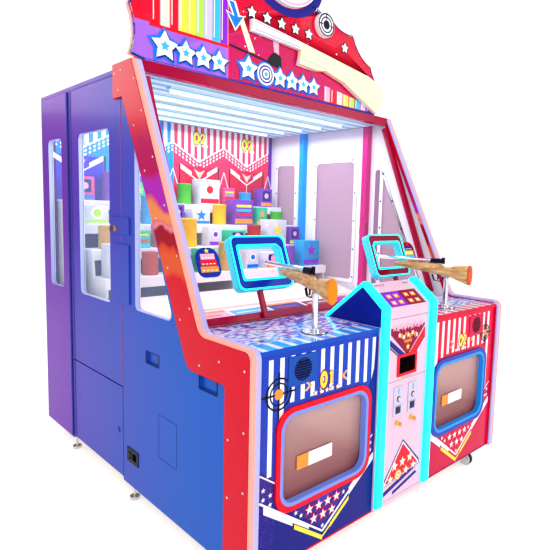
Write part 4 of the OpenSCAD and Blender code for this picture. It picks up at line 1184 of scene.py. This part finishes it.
p = Prints("sign_print", "root", "marquee_print", front_face(SIGN_Y))
bars = ["red", "cream", "red", "yellow", "yellow", "green", "lilac", "sky", "purple"]
u0, wide = -0.742, 0.0405
for k, key in enumerate(bars):
    a, b = u0 + wide * k, u0 + wide * (k + 1)
    p.box(key, a, 2.030, b - 0.004, 2.248, 2)
    p.box("white", a + 0.006, 2.045, a + 0.010, 2.235, 3)
    p.box("grey", b - 0.004, 2.030, b, 2.248, 2)
p.box("white", -0.750, 2.248, -0.375, 2.262, 3)
p.box("red", -0.750, 2.018, -0.377, 2.030, 3)
right_bars = ["pink", "red", "cream", "yellow", "green", "sky", "lilac", "purple"]
for k, key in enumerate(right_bars):
    a = 0.236 + 0.049 * k
    top, top_right = (1.968 - (u - 0.252) * 0.112 for u in (a, a + 0.042))
    p.poly(key, [(a, 1.892), (a + 0.042, 1.892), (a + 0.042, top_right), (a, top)], 2)
    p.box("white", a + 0.006, 1.896, a + 0.011, top - 0.006, 3)
# stars and a target in the place of a title, standing proud of the board
TITLE = [(-0.688, 0.062), (-0.592, 0.052), (-0.508, 0.050), (-0.428, 0.050),
         (-0.268, 0.058), (-0.078, 0.049), (0.000, 0.048), (0.076, 0.047), (0.150, 0.046)]
for k, (u, r) in enumerate(TITLE):
    z = 1.945 + (0.006 if k in (0, 4) else 0)
    p.star("blue", u, z, r * 1.22, 8, 0.0, 0.62)
    p.star("navy", u + 0.004, z - 0.003, r * 1.04, 14, 0.0, 0.56)
    p.star("white", u, z, r * 0.98, 20, 0.0, 0.54)
    p.star("sky", u, z, r * 0.36, 21, 0.0, 0.5)
for r, key, level in ((0.058, "blue", 8), (0.050, "white", 16), (0.041, "navy", 17), (0.034, "white", 18),
                      (0.026, "navy", 19), (0.019, "white", 20), (0.010, "sky", 21)):
    p.disc(key, -0.166, 1.946, r, level, 40)
# two beams of light, a rod with a dark block at its end, and an arrow
p.poly("cream", [(-0.330, 2.175), (-0.300, 2.175), (-0.226, 2.030), (-0.262, 2.030)], 1)
p.poly("pink", [(-0.120, 2.110), (-0.085, 2.110), (-0.080, 2.030), (-0.105, 2.030)], 1)
p.line("black", (-0.370, 2.035), (-0.147, 2.008), 0.008, 5)
p.poly("black", blunt([(-0.157, 1.998), (-0.063, 1.990), (-0.070, 2.048), (-0.112, 2.062),
                       (-0.140, 2.036)], 0.012), 6)
p.poly("white", [(-0.389, 2.225), (-0.341, 2.228), (-0.315, 2.168), (-0.286, 2.180), (-0.340, 2.100),
                      (-0.393, 2.178), (-0.355, 2.168)], 5)
p.poly("blue", [(-0.376, 2.222), (-0.350, 2.222), (-0.326, 2.164), (-0.298, 2.172), (-0.340, 2.112),
                     (-0.383, 2.172), (-0.346, 2.162)], 6)
for k in range(8):
    u = -0.250 + 0.090 * k
    if abs(u - TARGET.x) < 0.085:
        continue
    z = 2.206 - 0.018 * (u + 0.25)
    p.star("black", u, z, 0.036, 4, 0.0, 0.56)
    p.star("white", u, z, 0.028, 8, 0.0, 0.52)
for k in range(26):
    u, z = random.uniform(-0.34, 0.60), random.uniform(2.00, 2.23)
    if z < 2.33 - 0.45 * u and not abs(u - TARGET.x) < 0.08:
        p.disc("white", u, z, random.uniform(0.002, 0.0045), 2, 10)
p.strip("navy", oval(*CREST, 0.246, 0.201), oval(*CREST, 0.196, 0.163), 3)
p.finish()
p = Prints("sign_relief_print", "root", "marquee_print", front_face(RAISED_Y))
p.ring("black", *TARGET, 0.057, 0.007, 2, 44)
p.ring("black", *TARGET, 0.040, 0.006, 2, 40)
p.disc("black", *TARGET, 0.022, 3, 32)
for a, b in (((0.212, 2.292), (0.209, 2.324)), ((0.158, 2.266), (0.185, 2.267)),
             ((0.239, 2.266), (0.268, 2.264))):
    p.line("black", a, b, 0.005, 3)
p.strip("pink", oval(*CREST, 0.182, 0.152), oval(*CREST, 0.170, 0.142), 2)
p.star("red", *CREST, 0.095, 3)
p.star("yellow", *CREST, 0.060, 4)
p.line("grey", (-0.245, 2.128), (0.034, 2.112), 0.005, 2)
p.line("lilac", (-0.245, 2.163), (0.004, 2.137), 0.006, 2)
p.line("grey", (0.060, 2.060), (0.230, 2.046), 0.003, 2)
p.finish()

# ---------------------------------------------------------------- speakers, wheels and small metal parts

SPEAKER = Vector(((lo("speakers").x * -1) - 0.066, (lo("speakers").z + hi("speakers").z) / 2))
speaker_frame = Paint("speaker_frame", 0.35, coat=0.05).fill((0.015, 0.09, 0.42))
speaker_frame.fill((0.62, 0.01, 0.08), speaker_frame.x.over(0.0))
du, dv = speaker_frame.x.size() - SPEAKER.x, speaker_frame.z - SPEAKER.y
cone = (du * du + dv * dv).under(0.041 ** 2)
speaker_frame.fill((0.008, 0.030, 0.18), cone)
speaker_frame.fill((0.28, 0.0, 0.03), cone * speaker_frame.x.over(0.0))
refined("speakers", [speaker_frame.done(vary=0.1, scale=30)], 0.0012, 2)
p = Prints("speaker_grille", "root", "speaker_metal", front_face(lo("speakers").y))
for s in (-1, 1):
    for r, n in ((0.010, 6), (0.019, 12), (0.028, 18), (0.037, 24)):
        for u, v in oval(s * SPEAKER.x, SPEAKER.y, r, r, n):
            p.disc("black", u, v, 0.0019, 2, 8)
p.finish()
for n in both_sides("caster_wheel"):
    axle = (lo(n) + hi(n)) / 2
    refined(n, [rubber, zinc], 0.0015, 2,
            lambda c, nn, a=axle: 1 if math.hypot(c.y - a.y, c.z - a.z) < 0.019 else 0)
for n in both_sides("caster_fork") + ["leveling_feet"]:
    refined(n, [zinc], 0.0008, 2)
for n in both_sides("door_lock", "tower_lock", "reject_button"):
    refined(n, [gold], 0.0006, 2)
for n in ("power_plate", "power_switch"):
    refined(n, [black], 0.0008, 2)

# ---------------------------------------------------------------- stage, lights and camera

bm = bmesh.new()
bmesh.ops.create_grid(bm, x_segments=8, y_segments=8, size=14)
floor = as_object("studio_floor", bm)
floor.data.materials.append(plain("floor", (0.97, 0.97, 0.98), 0.7, vary=0.01, scale=1, spec=0.05,
                                  glow=0.42))

scene = bpy.context.scene
world = bpy.data.worlds.new("studio")
scene.world = world
world.use_nodes = True
sky = world.node_tree.nodes["Background"]
sky.inputs[0].default_value = (1.0, 1.0, 1.0, 1)
seen = world.node_tree.nodes.new("ShaderNodeLightPath")
strength = world.node_tree.nodes.new("ShaderNodeMapRange")
strength.inputs["To Min"].default_value, strength.inputs["To Max"].default_value = 0.45, 0.97
world.node_tree.links.new(seen.outputs["Is Camera Ray"], strength.inputs["Value"])
world.node_tree.links.new(strength.outputs[0], sky.inputs[1])


def softbox(name, at, aim, size, power, tint=(1, 1, 1)):
    light = bpy.data.lights.new(name, "AREA")
    light.shape, light.size, light.size_y = "RECTANGLE", size[0], size[1]
    light.energy, light.color = power, tint
    obj = bpy.data.objects.new(name, light)
    scene.collection.objects.link(obj)
    obj.location = at
    obj.rotation_euler = (Vector(aim) - Vector(at)).to_track_quat("-Z", "Y").to_euler()


softbox("key", (-3.6, -4.2, 3.6), (0, 0, 0.9), (2.6, 2.6), 95)
softbox("fill", (3.4, -4.0, 2.6), (0, 0, 0.9), (2.4, 2.4), 60)
softbox("rim", (-2.5, 4.0, 3.5), (0, 0, 1.2), (2.4, 2.4), 45)
lamp_y = (lo("ceiling_lights").y + hi("ceiling_lights").y) / 2
softbox("case_lamp", (0, lamp_y, lo("ceiling_lights").z - 0.012), (0, lamp_y, 0), (1.40, 0.95), 12,
        (0.93, 0.97, 1.0))
softbox("top", (0, -0.6, 4.6), (0, 0, 1.0), (3, 3), 40)

camera = bpy.data.objects.new("camera", bpy.data.cameras.new("camera"))
scene.collection.objects.link(camera)
right = Vector((0.70568, -0.70783, 0.03159)).normalized()
ahead = Vector((0.70652, 0.69962, -0.10663)).normalized()
above = right.cross(ahead)
camera.matrix_world = Matrix.Translation((-1.7857, -2.1964, 1.299)) @ Matrix((
    (right.x, above.x, -ahead.x), (right.y, above.y, -ahead.y), (right.z, above.z, -ahead.z),
)).to_4x4()
SENSOR_MM, FOCAL_PX, PHOTO_PX = 36, 525.55, 550
camera.data.sensor_width = SENSOR_MM
camera.data.lens = SENSOR_MM * FOCAL_PX / PHOTO_PX
camera.data.shift_x, camera.data.shift_y = -0.0885, -0.0098
camera.data.clip_end = 60
scene.camera = camera
scene.view_settings.view_transform = "Standard"
scene.view_settings.look = "Medium High Contrast"
